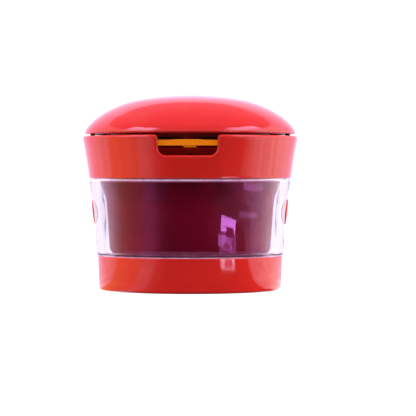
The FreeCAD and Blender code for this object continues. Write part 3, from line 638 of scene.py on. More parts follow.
# %% Lid
LID_WALL = 1.8 * MM
LID_ARCS = ((100.9, 9.71), (35.0, 34.4), (18.55, 50.0), (6.3, 74.0))
OUTER_STEPS, INNER_STEPS = (16, 22, 14, 14), (10, 12, 10, 6)
INNER_END = 60.0
LIP_R, LIP_ROUND = 35.98, 0.45


def lid_curve(inset, steps, last):
    """Points from the crown to the brow. Each arc's centre lies on the line from the last centre
    through the shared point, and every arc is drawn with its radius less the inset. The last one
    stops early, at its own angle from upright."""
    centre, radius, start = np.array([0.0, LID_APEX - LID_ARCS[0][0] * MM]), LID_ARCS[0][0] * MM, 0.0
    runs = []
    for (arc_radius, end), count in zip(LID_ARCS, steps):
        end = min(end, last)
        lean = math.radians(start)
        centre = centre + (radius - arc_radius * MM) * np.array([math.sin(lean), math.cos(lean)])
        radius = arc_radius * MM
        angle = np.radians(np.linspace(start, end, count + 1)[1:])
        runs.append(centre + (radius - inset) * np.stack([np.sin(angle), np.cos(angle)], -1))
        start = end
    return np.concatenate(runs)


def lid_section():
    """The lid's closed half section: under the crown, out along the inner wall, round the lip and
    back over the outer arcs to the crown."""
    outer = lid_curve(0, OUTER_STEPS, LID_ARCS[-1][1])
    inner = lid_curve(LID_WALL, INNER_STEPS, INNER_END)
    lip = section([(inner[-1, 0] / MM + 0.2, LID_EDGE / MM, 0), (LIP_R, LID_EDGE / MM, LIP_ROUND),
                   (outer[-1, 0] / MM, outer[-1, 1] / MM, 0)])
    crown_in, crown_out = np.array([[0, LID_APEX - LID_WALL]]), np.array([[0, LID_APEX]])
    return np.concatenate([crown_in, inner, lip[:-1], outer[::-1], crown_out])


lid_dome = turned_piece("lid_dome", lid_section(), "lid", "lid_red", columns=288)
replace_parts(lid_dome, "lid_shell")

# %% [markdown]
# ## Studio
#
# Gloss is only as good as what it reflects. Softboxes could be real lamps or glowing panels,
# but this room is painted on the world by direction, so it costs no meshes and reaches
# behind everything. Node trees are easier to read when each node takes one line, so a few
# helpers come first: one adds a node with its sockets, and the others do sums and blends.

# %% Node helpers


def add_node(tree, kind, sockets=None, **settings):
    """Adds a node, applies its settings, and links or sets each named input."""
    node = tree.nodes.new(kind)
    for key, value in settings.items():
        setattr(node, key, value)
    for key, value in (sockets or {}).items():
        if isinstance(value, bpy.types.NodeSocket):
            tree.links.new(value, node.inputs[key])
        else:
            node.inputs[key].default_value = value
    return node


def ramp(tree, value, low, high, out_low=0.0, out_high=1.0, smooth=True):
    """Carries a value from one range to another, clamped at both ends."""
    kind = "SMOOTHSTEP" if smooth else "LINEAR"
    node = add_node(tree, "ShaderNodeMapRange", {"Value": value, "From Min": low, "From Max": high,
                                                 "To Min": out_low, "To Max": out_high},
                    interpolation_type=kind)
    return node.outputs["Result"]


def calc(tree, operation, a, b=0.0):
    """One arithmetic step on values that change over the surface."""
    return add_node(tree, "ShaderNodeMath", {0: a, 1: b}, operation=operation).outputs[0]


def blend_colour(tree, factor, a, b):
    """The colour a where the factor is 0 and b where it is 1."""
    node = add_node(tree, "ShaderNodeMix", data_type="RGBA")
    for socket, value in ((node.inputs[0], factor), (node.inputs[6], a), (node.inputs[7], b)):
        if isinstance(value, bpy.types.NodeSocket):
            tree.links.new(value, socket)
        else:
            socket.default_value = value
    return node.outputs[2]


def scaled(tree, colour, factor):
    """A colour times a factor, which may be a number or a value that changes over the surface."""
    node = add_node(tree, "ShaderNodeVectorMath", {0: colour, "Scale": factor}, operation="SCALE")
    return node.outputs["Vector"]


def fill_stops(colour_ramp, spots, colours):
    """Gives a colour ramp its stops: all the places first, in rising order, and then the colours,
    because a ramp sorts its stops whenever one of them moves."""
    stops = colour_ramp.elements
    while len(stops) < len(spots):
        stops.new(0.5)
    for stop, spot in zip(stops, spots):
        stop.position = spot
    for stop, colour in zip(stops, colours):
        stop.color = (*colour, 1.0)


def bare_material(name):
    """A new material with an empty node tree."""
    material = bpy.data.materials.new(name)
    material.use_nodes = True
    material.node_tree.nodes.clear()
    return material, material.node_tree


print("helpers:", [f.__name__ for f in (add_node, ramp, calc, blend_colour, fill_stops, bare_material)])

# %% [markdown]
# The room is two rows of cards and a roof, each a table of azimuth in degrees and colour. The
# row at table height is what the lower walls mirror, and the upper row and the roof lights
# are what the dome mirrors. The front is nearly black, as the unlit half of a room is, so
# the bright bands down the collar end in deep red.

# %% Tables of the room
CARDS = (
    (-180, (1.15, 1.00, 1.40)), (-128, (1.15, 1.00, 1.40)), (-114, (1.35, 1.25, 1.40)),
    (-93.5, (1.35, 1.20, 1.25)), (-92, (1.25, 0.82, 0.40)), (-76, (1.25, 0.74, 0.30)),
    (-53, (1.10, 0.66, 0.38)), (-51.5, (1.00, 0.92, 0.95)), (-40, (0.90, 0.80, 0.86)),
    (-35, (0.35, 0.28, 0.32)), (-20, (0.04, 0.03, 0.03)), (34, (0.04, 0.03, 0.03)),
    (52, (0.60, 0.50, 0.50)), (69, (1.20, 1.05, 1.05)), (71, (1.75, 1.50, 1.60)),
    (98, (2.10, 1.95, 2.00)), (125, (1.70, 1.55, 1.70)), (142, (1.15, 1.00, 1.40)),
    (180, (1.15, 1.00, 1.40)),
)
UPPER_CARDS = (
    (-180, (1.15, 1.00, 1.40)), (-128, (1.15, 1.00, 1.40)), (-118, (1.35, 1.25, 1.40)),
    (-99, (1.35, 1.20, 1.25)), (-87, (1.30, 1.00, 1.10)), (-83, (2.80, 2.10, 3.00)),
    (-46, (2.80, 2.10, 3.00)), (-40, (0.10, 0.07, 0.08)), (-20, (0.04, 0.03, 0.03)),
    (34, (0.04, 0.03, 0.03)), (48, (0.30, 0.25, 0.25)), (54, (2.60, 2.00, 2.60)),
    (98, (2.60, 2.00, 2.60)), (105, (2.10, 1.95, 2.00)), (125, (1.70, 1.55, 1.70)),
    (142, (1.15, 1.00, 1.40)), (180, (1.15, 1.00, 1.40)),
)
ROOF_COLOUR = (0.50, 0.47, 0.60)
ROOF_LIGHTS = (
    (-180, ROOF_COLOUR), (-86, ROOF_COLOUR), (-80, (7.50, 5.20, 8.20)), (-50, (7.50, 5.20, 8.20)),
    (-38, ROOF_COLOUR), (46, ROOF_COLOUR), (60, (6.60, 4.60, 7.00)), (98, (6.60, 4.60, 7.00)),
    (106, ROOF_COLOUR), (180, ROOF_COLOUR),
)
TABLE_LINE, WALL_TOP = 0.05, math.sin(math.radians(37))
LIGHT_LOW, LIGHT_HIGH = math.sin(math.radians(36)), math.sin(math.radians(50))
TABLE_BLEND, ROOF_BLEND, LIGHT_BLEND = 0.04, 0.01, 0.02
print("%d card edges in two rows, %d in the roof" % (len(CARDS) + len(UPPER_CARDS), len(ROOF_LIGHTS)))

# %% [markdown]
# The world and the table both have to show this room, so it is one node group: a direction
# goes in, and the light from there comes out.

# %% The room as a node group


def card_ramp(tree, share, table):
    """The colours of one row of cards, blended along the azimuth. A ramp keeps colours up to 1, so
    they are divided by the brightest and scaled up again."""
    degrees, colours = zip(*table)
    brightest = max(max(colour) for colour in colours)
    ramp_node = add_node(tree, "ShaderNodeValToRGB", {"Fac": share})
    fill_stops(ramp_node.color_ramp, [d / 360 + 0.5 for d in degrees],
               [tuple(c / brightest for c in colour) for colour in colours])
    return scaled(tree, ramp_node.outputs["Color"], brightest)


def card_group():
    """Light of the room in a direction. The azimuth is the angle of (x, -y), so it is 0 in front
    and grows towards +X. One row of cards lies at table height, and one stands above it."""
    group = bpy.data.node_groups.new("studio_cards", "ShaderNodeTree")
    group.interface.new_socket("Direction", in_out="INPUT", socket_type="NodeSocketVector")
    group.interface.new_socket("Light", in_out="OUTPUT", socket_type="NodeSocketColor")
    given, out = group.nodes.new("NodeGroupInput"), group.nodes.new("NodeGroupOutput")
    axes = add_node(group, "ShaderNodeSeparateXYZ", {"Vector": given.outputs["Direction"]}).outputs
    azimuth = calc(group, "ARCTAN2", axes["X"], calc(group, "MULTIPLY", axes["Y"], -1.0))
    share = ramp(group, azimuth, -math.pi, math.pi, smooth=False)
    height = axes["Z"]
    standing = ramp(group, height, TABLE_LINE, TABLE_LINE + TABLE_BLEND)
    wall = blend_colour(group, standing, card_ramp(group, share, CARDS),
                        card_ramp(group, share, UPPER_CARDS))
    hung = calc(group, "MULTIPLY",
                ramp(group, height, LIGHT_LOW - LIGHT_BLEND, LIGHT_LOW + LIGHT_BLEND),
                ramp(group, height, LIGHT_HIGH + LIGHT_BLEND, LIGHT_HIGH - LIGHT_BLEND))
    roof = blend_colour(group, hung, (*ROOF_COLOUR, 1.0), card_ramp(group, share, ROOF_LIGHTS))
    above = ramp(group, height, WALL_TOP - ROOF_BLEND, WALL_TOP + ROOF_BLEND)
    group.links.new(blend_colour(group, above, wall, roof), out.inputs["Light"])
    return group


ROOM = card_group()
print("room group with", len(ROOM.nodes), "nodes")

# %% [markdown]
# A camera ray sees plain white and a diffuse ray a calm grey, so the background stays clean
# and the reds keep their depth. Every other ray meets the cards.

# %% World
CAMERA_WHITE, CALM_GREY = (1.05, 1.05, 1.05, 1.0), (0.25, 0.24, 0.25, 1.0)
world = bpy.data.worlds.new("studio_world")
bpy.context.scene.world = world
world.use_nodes = True
sky = world.node_tree
sky.nodes.clear()
looking = add_node(sky, "ShaderNodeTexCoord").outputs["Generated"]
room = add_node(sky, "ShaderNodeGroup", node_tree=ROOM)
sky.links.new(looking, room.inputs["Direction"])
asked = add_node(sky, "ShaderNodeLightPath")
light = blend_colour(sky, asked.outputs["Is Diffuse Ray"], room.outputs["Light"], CALM_GREY)
light = blend_colour(sky, asked.outputs["Is Camera Ray"], light, CAMERA_WHITE)
shine = add_node(sky, "ShaderNodeBackground", {"Color": light})
add_node(sky, "ShaderNodeOutputWorld", {"Surface": shine.outputs["Background"]})
bpy.context.scene.view_settings.view_transform = "Standard"
print("walls up to", round(WALL_TOP, 3), "of the sphere's height")

# %% [markdown]
# Three large lamps, one above and one at each side, fill the reds. They are switched off for
# gloss, as a polarising sheet on a lamp does in a studio: the red gets brighter, but no
# white patch appears on the dome, and the front stays deep.

# %% Fill lamps
LAMP_TARGET = 0.035


def fill_lamp(name, azimuth, elevation, distance, size, radiance):
    """A rectangular lamp that faces the object. Its power is its radiance times pi times its area.
    Azimuth 0 is in front of the object, and a positive one is towards +X."""
    lamp = bpy.data.lights.new(name, "AREA")
    lamp.shape, lamp.size, lamp.size_y = "RECTANGLE", *size
    lamp.energy = radiance * math.pi * size[0] * size[1]
    holder = bpy.data.objects.new(name, lamp)
    a, e = math.radians(azimuth), math.radians(elevation)
    holder.location = (distance * math.cos(e) * math.sin(a), -distance * math.cos(e) * math.cos(a),
                       LAMP_TARGET + distance * math.sin(e))
    holder.rotation_euler = (math.pi / 2 - e, 0, a)
    holder.visible_camera = holder.visible_glossy = holder.visible_transmission = False
    bpy.context.scene.collection.objects.link(holder)
    print("%-14s %.1f W" % (name, lamp.energy))


fill_lamp("overhead_fill", 0, 82, 0.9, (1.0, 0.8), 2.1)
for lamp_name, lamp_azimuth in (("left_fill", -94), ("right_fill", 96)):
    fill_lamp(lamp_name, lamp_azimuth, 10, 0.9, (0.7, 0.9), 3.8)

# %% [markdown]
# The floor is a pale sheet, large enough to fill every view. It is lit a little from within,
# as a light table is, so that the shadow under the object stays faint. A flared wall mirrors
# the table and not the room, so for gloss the same cards that stand round it also lie on it.

# %% Floor sheet
FLOOR_HALF = 6.0
corners = np.array([(-1, -1, 0), (1, -1, 0), (1, 1, 0), (-1, 1, 0)]) * FLOOR_HALF
floor_mesh = bpy.data.meshes.new("studio_floor")
floor_mesh.from_pydata(corners, [], [(0, 1, 2, 3)])
floor = bpy.data.objects.new("studio_floor", floor_mesh)
bpy.context.scene.collection.objects.link(floor)
paper, tree = bare_material("studio_paper")
floor_mesh.materials.append(paper)
spot = add_node(tree, "ShaderNodeTexCoord").outputs["Object"]
fibre = add_node(tree, "ShaderNodeTexNoise", {"Vector": spot, "Scale": 900.0, "Detail": 3.0})
sheet_colour = blend_colour(tree, fibre.outputs["Fac"], (0.88, 0.88, 0.885, 1), (0.93, 0.93, 0.93, 1))
sheet = add_node(tree, "ShaderNodeBsdfPrincipled", {
    "Base Color": sheet_colour, "Roughness": 0.7, "Specular IOR Level": 0.0,
    "Emission Color": (1, 1, 1, 1), "Emission Strength": 0.72})
print("floor of", 2 * FLOOR_HALF, "m")

# %% [markdown]
# On top of the laid-down room lie five cards of their own. A dark mat keeps the middle of the
# walls deep. Two bright panes with a dark gap between them make the window that the clear
# cup shows, and a long narrow card makes the thin streak to its right. Each is a mask in the
# table's own coordinates: 1 inside a turned and tapered rectangle, and 0 outside it.

# %% Cards on the table
LYING_CARDS = (  # name, centre, turn in degrees, size, taper, colour
    ("dark mat", (0.0690, -0.0854), -21, (0.190, 0.110), 0.0, (0.16, 0.04, 0.06)),
    ("near pane", (0.0726, -0.0800), -42.2, (0.0315, 0.0305), 0.335, (4.0, 4.0, 5.5)),
    ("far pane", (0.0927, -0.1022), -42.2, (0.0280, 0.0403), 0.225, (24.0, 24.0, 32.0)),
    ("gap", (0.0805, -0.0850), -40.1, (0.0350, 0.0180), 0.31, (2.0, 0.6, 1.6)),
    ("streak", (0.2369, -0.0612), 56, (0.1234, 0.0170), 0.0, (6.0, 6.0, 7.5)),
)


def lying_card(centre, turn, size, taper):
    """Mask of a card on the table, its length turned from +X by an angle in degrees. A taper makes
    its far end wider: the distance across is divided by 1 plus the taper times that along."""
    placed = add_node(tree, "ShaderNodeMapping", {
        "Vector": spot, "Location": (*centre, 0), "Scale": (*size, 1),
        "Rotation": (0, 0, math.radians(turn))}, vector_type="TEXTURE")
    axes = add_node(tree, "ShaderNodeSeparateXYZ", {"Vector": placed.outputs["Vector"]}).outputs
    spread = calc(tree, "ADD", calc(tree, "MULTIPLY", axes["X"], taper), 1.0)
    across = calc(tree, "DIVIDE", axes["Y"], spread)
    sides = [ramp(tree, calc(tree, "ABSOLUTE", side), 0.48, 0.52, 1.0, 0.0)
             for side in (axes["X"], across)]
    return calc(tree, "MULTIPLY", *sides)


laid = add_node(tree, "ShaderNodeGroup", node_tree=ROOM)
tree.links.new(spot, laid.inputs["Direction"])
patches = add_node(tree, "ShaderNodeTexNoise", {"Vector": spot, "Scale": 42.0, "Detail": 3.0})
unevenness = ramp(tree, patches.outputs["Fac"], 0.3, 0.7, 0.78, 1.22)
laid_colour = scaled(tree, laid.outputs["Light"], unevenness)
for _, *card_spec, card_colour in LYING_CARDS:
    laid_colour = blend_colour(tree, lying_card(*card_spec), laid_colour, (*card_colour, 1.0))
print("cards on the table:", [row[0] for row in LYING_CARDS])

# %% [markdown]
# The kind of ray chooses what the sheet is: white paper for the camera and for glass, a calm
# grey for diffuse rays, as in the world, and the laid cards for gloss.

# %% Floor by kind of ray
laid_light = add_node(tree, "ShaderNodeEmission", {"Color": laid_colour})
table_grey = blend_colour(tree, fibre.outputs["Fac"], (0.40, 0.37, 0.35, 1), (0.46, 0.43, 0.41, 1))
table_light = add_node(tree, "ShaderNodeEmission", {"Color": table_grey})
ray = add_node(tree, "ShaderNodeLightPath").outputs
soft_rays = add_node(tree, "ShaderNodeMixShader", {
    0: ray["Is Diffuse Ray"], 1: sheet.outputs["BSDF"], 2: table_light.outputs["Emission"]})
paper_mix = add_node(tree, "ShaderNodeMixShader", {
    0: ray["Is Glossy Ray"], 1: soft_rays.outputs["Shader"], 2: laid_light.outputs["Emission"]})
add_node(tree, "ShaderNodeOutputMaterial", {"Surface": paper_mix.outputs["Shader"]})
print("floor material has", len(tree.nodes), "nodes")

# %% [markdown]
# ## Shared surface effects
#
# Moulded plastic is never perfectly even. It has a slow drift of colour where the melt
# cooled, an orange-peel ripple in the gloss, fine hairlines from handling, pale worn
# edges and a little dust on what faces up. Each effect is one node group, built once, and
# every finish places it with its own values.

# %% Group maker


def new_group(name, inputs, outputs):
    """A shader node group with named float inputs, as (name, value), and float outputs."""
    group = bpy.data.node_groups.new(name, "ShaderNodeTree")
    for label, value in inputs:
        socket = group.interface.new_socket(label, in_out="INPUT", socket_type="NodeSocketFloat")
        socket.default_value = value
    for label in outputs:
        group.interface.new_socket(label, in_out="OUTPUT", socket_type="NodeSocketFloat")
    return group, group.nodes.new("NodeGroupInput"), group.nodes.new("NodeGroupOutput")


def noise(tree, where, scale, detail):
    """The noise value, from 0 to 1, at a position, with a given size and fineness."""
    node = add_node(tree, "ShaderNodeTexNoise", {"Vector": where, "Scale": scale, "Detail": detail})
    return node.outputs["Fac"]


def dot(tree, a, b):
    """The dot product of two directions: 1 when they agree and -1 when they oppose."""
    node = add_node(tree, "ShaderNodeVectorMath", {0: a, 1: b}, operation="DOT_PRODUCT")
    return node.outputs["Value"]


print("more helpers:", [f.__name__ for f in (new_group, noise, dot)])

# %% Moulded skin
HAZE_FINER, PEEL_FINER = 5.0, 22.0


def moulded_skin_group():
    """Tone: a slow drift from 0 to 1. Roughness: the given one, a little up and down. Height:
    orange peel, a fine even ripple."""
    group, given, out = new_group("moulded_skin", (("Scale", 60.0), ("Roughness", 0.1), ("Spread", 0.04)),
                                  ("Tone", "Roughness", "Height"))
    coords = add_node(group, "ShaderNodeTexCoord").outputs["Object"]
    scale = given.outputs["Scale"]
    group.links.new(ramp(group, noise(group, coords, scale, 3.0), 0.3, 0.7), out.inputs["Tone"])
    haze = noise(group, coords, calc(group, "MULTIPLY", scale, HAZE_FINER), 4.0)
    offset = calc(group, "MULTIPLY", calc(group, "SUBTRACT", haze, 0.5), given.outputs["Spread"])
    group.links.new(calc(group, "ADD", offset, given.outputs["Roughness"]), out.inputs["Roughness"])
    peel = noise(group, coords, calc(group, "MULTIPLY", scale, PEEL_FINER), 2.0)
    group.links.new(peel, out.inputs["Height"])
    return group


SKIN = moulded_skin_group()
print("moulded skin:", len(SKIN.nodes), "nodes")

# %% Hairlines


def hairline_group():
    """Mask: thin scratches, where two stretched and wavy noises pass through their middle value."""
    group, given, out = new_group("hairlines", (("Scale", 40.0), ("Width", 0.012)), ("Mask",))
    coords = add_node(group, "ShaderNodeTexCoord").outputs["Object"]
    masks = []
    for turn, stretch in (((0.3, 0.2, 0.5), (1.0, 9.0, 9.0)), ((0.9, 2.1, 1.4), (8.0, 1.0, 10.0))):
        placed = add_node(group, "ShaderNodeMapping", {
            "Vector": coords, "Rotation": turn, "Scale": stretch}).outputs["Vector"]
        wavy = noise(group, placed, given.outputs["Scale"], 1.0)
        gap = calc(group, "ABSOLUTE", calc(group, "SUBTRACT", wavy, 0.5))
        line = ramp(group, gap, 0.0, given.outputs["Width"], 1.0, 0.0)
        patch = ramp(group, noise(group, coords, 180.0 * stretch[0], 0.0), 0.52, 0.62)
        masks.append(calc(group, "MULTIPLY", line, patch))
    group.links.new(calc(group, "MAXIMUM", *masks), out.inputs["Mask"])
    return group


HAIRLINES = hairline_group()
print("hairlines:", len(HAIRLINES.nodes), "nodes")

# %% [markdown]
# Wear needs to know where an edge is. The Bevel node gives a normal that is averaged over a
# small radius, and on an edge it differs from the true one. Dust needs only the normal's
# height. Both are broken up by noise, so that they don't look painted on.

# %% Edge wear and dust


def edge_wear_group():
    """Mask: how far the true normal turns from one that is averaged over the edge's width."""
    group, given, out = new_group("edge_wear", (("Width", 0.0004), ("Gain", 6.0)), ("Mask",))
    soft = add_node(group, "ShaderNodeBevel", {"Radius": given.outputs["Width"]}, samples=3)
    true = add_node(group, "ShaderNodeNewGeometry").outputs["Normal"]
    turned = calc(group, "SUBTRACT", 1.0, dot(group, soft.outputs["Normal"], true))
    coords = add_node(group, "ShaderNodeTexCoord").outputs["Object"]
    worn = calc(group, "MULTIPLY", calc(group, "MULTIPLY", turned, given.outputs["Gain"]),
                noise(group, coords, 700.0, 3.0))
    group.links.new(ramp(group, worn, 0.05, 0.6), out.inputs["Mask"])
    return group


def dust_group():
    """Mask: specks and a thin film where the surface faces up."""
    group, given, out = new_group("settled_dust", (("Amount", 0.3),), ("Mask",))
    coords = add_node(group, "ShaderNodeTexCoord").outputs["Object"]
    normal = add_node(group, "ShaderNodeNewGeometry").outputs["Normal"]
    facing = add_node(group, "ShaderNodeSeparateXYZ", {"Vector": normal}).outputs["Z"]
    upward = ramp(group, facing, 0.5, 1.0)
    specks = add_node(group, "ShaderNodeTexVoronoi", {"Vector": coords, "Scale": 420.0})
    dots = ramp(group, specks.outputs["Distance"], 0.10, 0.04)
    film = ramp(group, noise(group, coords, 130.0, 4.0), 0.5, 0.8, 0.0, 0.5)
    cover = calc(group, "ADD", calc(group, "MULTIPLY", dots, 0.6), film)
    dusty = calc(group, "MULTIPLY", calc(group, "MULTIPLY", cover, upward), given.outputs["Amount"])
    group.links.new(dusty, out.inputs["Mask"])
    return group


WEAR, DUST = edge_wear_group(), dust_group()
print("edge wear:", len(WEAR.nodes), "nodes, dust:", len(DUST.nodes), "nodes")

# %% [markdown]
# Two more masks know how a face stands. One finds walls that face the object's own axis, where the finishes
# paint shade and glow, and the other finds upright faces, where the tray's glow is painted. Each has the two
# normal values between which its mask goes from 0 to 1 as its inputs.

# %% Facing masks


def inward_group():
    """Mask: 1 where the surface faces the object's upright axis, 0 where it faces away. It is the
    dot product of the normal and the flat direction from the axis to the point."""
    group, given, out = new_group("facing_inwards", (("Start", -0.2), ("Full", -0.7)), ("Mask",))
    coords = add_node(group, "ShaderNodeTexCoord").outputs["Object"]
    flat = add_node(group, "ShaderNodeVectorMath", {0: coords, 1: (1, 1, 0)}, operation="MULTIPLY")
    away = add_node(group, "ShaderNodeVectorMath", {0: flat.outputs["Vector"]}, operation="NORMALIZE")
    normal = add_node(group, "ShaderNodeNewGeometry").outputs["Normal"]
    mask = ramp(group, dot(group, normal, away.outputs["Vector"]),
                given.outputs["Start"], given.outputs["Full"])
    group.links.new(mask, out.inputs["Mask"])
    return group


def sideways_group():
    """Mask: 1 on upright faces and 0 on level ones, from the height of the normal."""
    group, given, out = new_group("facing_sideways", (("Start", 0.8), ("Full", 0.3)), ("Mask",))
    normal = add_node(group, "ShaderNodeNewGeometry").outputs["Normal"]
    height = add_node(group, "ShaderNodeSeparateXYZ", {"Vector": normal}).outputs["Z"]
    mask = ramp(group, calc(group, "ABSOLUTE", height), given.outputs["Start"], given.outputs["Full"])
    group.links.new(mask, out.inputs["Mask"])
    return group


INWARD, SIDEWAYS = inward_group(), sideways_group()
print("node groups:", [g.name for g in (ROOM, SKIN, HAIRLINES, WEAR, DUST, INWARD, SIDEWAYS)])

# %% [markdown]
# ## Plastics and rubber
#
# One recipe covers the solid plastics. Two close shades are mixed by the skin's tone, the
# worn edges go paler, dust greys what faces up, and hairlines and dust both roughen the
# gloss. What differs between a lid and a seal is colours, roughness and how much of each
# effect it has had.

# %% Recipe for solid plastics
DUST_GREY, DUST_ROUGHNESS = (0.55, 0.52, 0.50, 1.0), 0.4
WORN_SHARE, WORN_LIFT = 0.75, 0.12


def place(tree, group, **values):
    """Puts a shared group into a material and sets its inputs."""
    node = tree.nodes.new("ShaderNodeGroup")
    node.node_tree = group
    for label, value in values.items():
        node.inputs[label].default_value = value
    return node.outputs


def shade(colour, factor):
    """A colour made lighter or darker by a factor, with its alpha added."""
    return tuple(min(c * factor, 1.0) for c in colour) + (1.0,)


def moulded(name, colour, roughness, spread=0.04, scale=60.0, drift=0.10, wear=4.0, dust=0.12,
            hair=0.10, peel=0.004, painted_inner_shade=None, painted_glow=None, **shader):
    """A solid moulded finish. drift is how far its two shades lie apart, and peel is the height of its
    ripple in millimetres. The inner shade colour is painted shade, a darker colour for walls that face the
    axis. The glow pair, a mask group and a colour, is painted light: an emission where the mask is 1, which
    stands in for light that soaks through the plastic."""
    material, tree = bare_material(name)
    skin = place(tree, SKIN, Scale=scale, Roughness=roughness, Spread=spread)
    lines = place(tree, HAIRLINES)["Mask"]
    worn = place(tree, WEAR, Gain=wear)["Mask"]
    dusty = place(tree, DUST, Amount=dust)["Mask"]
    body = blend_colour(tree, skin["Tone"], shade(colour, 1 - drift), shade(colour, 1 + drift))
    # Painted shade: walls that face the axis take the darker inner colour.
    if painted_inner_shade is not None:
        painted_shade_colour = blend_colour(tree, skin["Tone"], shade(painted_inner_shade, 1 - drift), shade(painted_inner_shade, 1 + drift))
        body = blend_colour(tree, place(tree, INWARD)["Mask"], body, painted_shade_colour)
    paler = tuple(WORN_SHARE * c + WORN_LIFT for c in colour) + (1.0,)
    body = blend_colour(tree, worn, body, paler)
    body = blend_colour(tree, dusty, body, DUST_GREY)
    rough = calc(tree, "ADD", skin["Roughness"], calc(tree, "MULTIPLY", lines, hair))
    rough = calc(tree, "ADD", rough, calc(tree, "MULTIPLY", dusty, DUST_ROUGHNESS))
    height = calc(tree, "SUBTRACT", skin["Height"], calc(tree, "MULTIPLY", lines, 0.5))
    bump = add_node(tree, "ShaderNodeBump", {"Height": height, "Strength": 0.6, "Distance": peel * MM})
    surface = add_node(tree, "ShaderNodeBsdfPrincipled", {
        "Base Color": body, "Roughness": rough, "Normal": bump.outputs["Normal"], **shader})
    # Painted glow: an emission where the mask is 1, standing in for light that soaks through the plastic.
    if painted_glow is not None:
        painted_glow_colour = blend_colour(tree, place(tree, painted_glow[0])["Mask"], (0, 0, 0, 1), (*painted_glow[1], 1))
        tree.links.new(painted_glow_colour, surface.inputs["Emission Color"])
        surface.inputs["Emission Strength"].default_value = 1.0
    add_node(tree, "ShaderNodeOutputMaterial", {"Surface": surface.outputs["BSDF"]})
    return material


print("plain dark red:", shade((0.5, 0.1, 0.1), 0.5))

# %% [markdown]
# The reds differ more than they seem to. The lid is the glossiest and purest, the collar and
# base lean a little to orange, and the core is a deep crimson with little gloss of its own.
# The orange tray has painted glow on its upright faces, an emission that stands in for light that soaks in
# at its top and leaves at its sides. The backs of the soft pads, seen through the clear wall, are painted
# pale with a glow of the same kind, and the collar's walls that face the axis get painted shade with a faint
# painted glow.

# %% Solid plastics
FINISHES = {
    "lid_red": moulded("lid_red_gloss", (0.86, 0.016, 0.013), 0.05, spread=0.02, drift=0.03, peel=0.0015),
    # The body red paints shade, and a faint painted glow, on walls that face the axis.
    "body_red": moulded("body_red_gloss", (0.86, 0.026, 0.018), 0.07, spread=0.03, drift=0.05,
                        peel=0.002, painted_inner_shade=(0.26, 0.003, 0.003), painted_glow=(INWARD, (0.045, 0.0005, 0.0005))),
    "core_red": moulded("core_red_satin", (0.165, 0.001, 0.015), 0.34, spread=0.08, drift=0.25,
                        peel=0.0012, **{"Specular IOR Level": 0.10}),
    "inner_plastic": moulded("liner_red_satin", (0.36, 0.008, 0.008), 0.34, spread=0.08, peel=0.006,
                             **{"Specular IOR Level": 0.2}),
    # The tray's upright faces have painted glow, an emission in place of light passing through its edge.
    "tray_orange": moulded("tray_orange_gloss", (0.90, 0.27, 0.002), 0.22, spread=0.06, drift=0.05,
                           peel=0.004, painted_glow=(SIDEWAYS, (0.42, 0.115, 0.0))),
    "guard_plastic": moulded("guard_crimson_satin", (0.34, 0.010, 0.014), 0.30, spread=0.06, peel=0.004),
    "seal_silicone": moulded("seal_silicone_grey", (0.62, 0.60, 0.61), 0.45, spread=0.1, scale=120.0,
                             peel=0.01),
}
print("plastics:", list(FINISHES))

# %% Rubbers
RUBBER = {"scale": 140.0, "wear": 2.0, "hair": 0.02}
# The pads' backs, which face the axis, have a pale violet painted glow.
FINISHES["pad_rubber"] = moulded("thumb_pad_rubber", (0.83, 0.085, 0.03), 0.55, spread=0.12, peel=0.02,
                                 painted_glow=(INWARD, (0.74, 0.68, 0.82)), **RUBBER)
FINISHES["grip_rubber"] = moulded("grip_rubber_grey", (0.55, 0.55, 0.53), 0.60, spread=0.12, peel=0.03,
                                  **RUBBER)
FINISHES["sole_rubber"] = moulded("sole_rubber_black", (0.03, 0.03, 0.032), 0.65, spread=0.15, peel=0.03,
                                  **RUBBER)
print("plastics and rubbers:", len(FINISHES))

# %% [markdown]
# ## Steel
#
# The blade is ground lengthwise, so its scratches all run along Y. A noise that is stretched
# hard along the grinding direction gives both the streaks in the tone and the roughness.
# The pins and screws are plated: smoother, with only a faint grain.

# %% Steels
GRAIN_SCALE = 900.0


def steel(name, colour, roughness, stretch, grain):
    """Metal whose grain is a noise stretched by the given factors along X, Y and Z. grain is the
    height of the grain in millimetres."""
    material, tree = bare_material(name)
    coords = add_node(tree, "ShaderNodeTexCoord").outputs["Object"]
    placed = add_node(tree, "ShaderNodeMapping", {"Vector": coords, "Scale": stretch})
    streak = noise(tree, placed.outputs["Vector"], GRAIN_SCALE, 4.0)
    body = blend_colour(tree, streak, shade(colour, 0.82), shade(colour, 1.12))
    rough = ramp(tree, streak, 0.25, 0.75, roughness - 0.06, roughness + 0.08)
    bump = add_node(tree, "ShaderNodeBump", {"Height": streak, "Strength": 0.5, "Distance": grain * MM})
    surface = add_node(tree, "ShaderNodeBsdfPrincipled", {
        "Base Color": body, "Roughness": rough, "Metallic": 1.0, "Normal": bump.outputs["Normal"]})
    add_node(tree, "ShaderNodeOutputMaterial", {"Surface": surface.outputs["BSDF"]})
    return material


FINISHES["blade_steel"] = steel("blade_ground_steel", (0.66, 0.67, 0.69), 0.24, (6.0, 0.15, 3.0), 0.006)
FINISHES["screw_steel"] = steel("screw_zinc", (0.60, 0.61, 0.63), 0.30, (1.0, 1.0, 1.0), 0.004)
FINISHES["pin_steel"] = steel("pin_polished_steel", (0.70, 0.71, 0.73), 0.16, (0.3, 2.0, 2.0), 0.002)
print("finishes so far:", len(FINISHES))

# %% [markdown]
# ## Clear plastic
#
# The cup is clear styrene with a faint violet cast in its gloss. Its index, 1.34, is well under real
# styrene's 1.59 and was chosen. A refracting shader blocks the lamps, so a ray that only asks for shadow is
# let through with a transparent one.
#
# At the wall's foot and shoulder thin milky bands are painted glow: an emission that stands in for the light
# the plastic scatters there. They are a table of height in millimetres and colour.

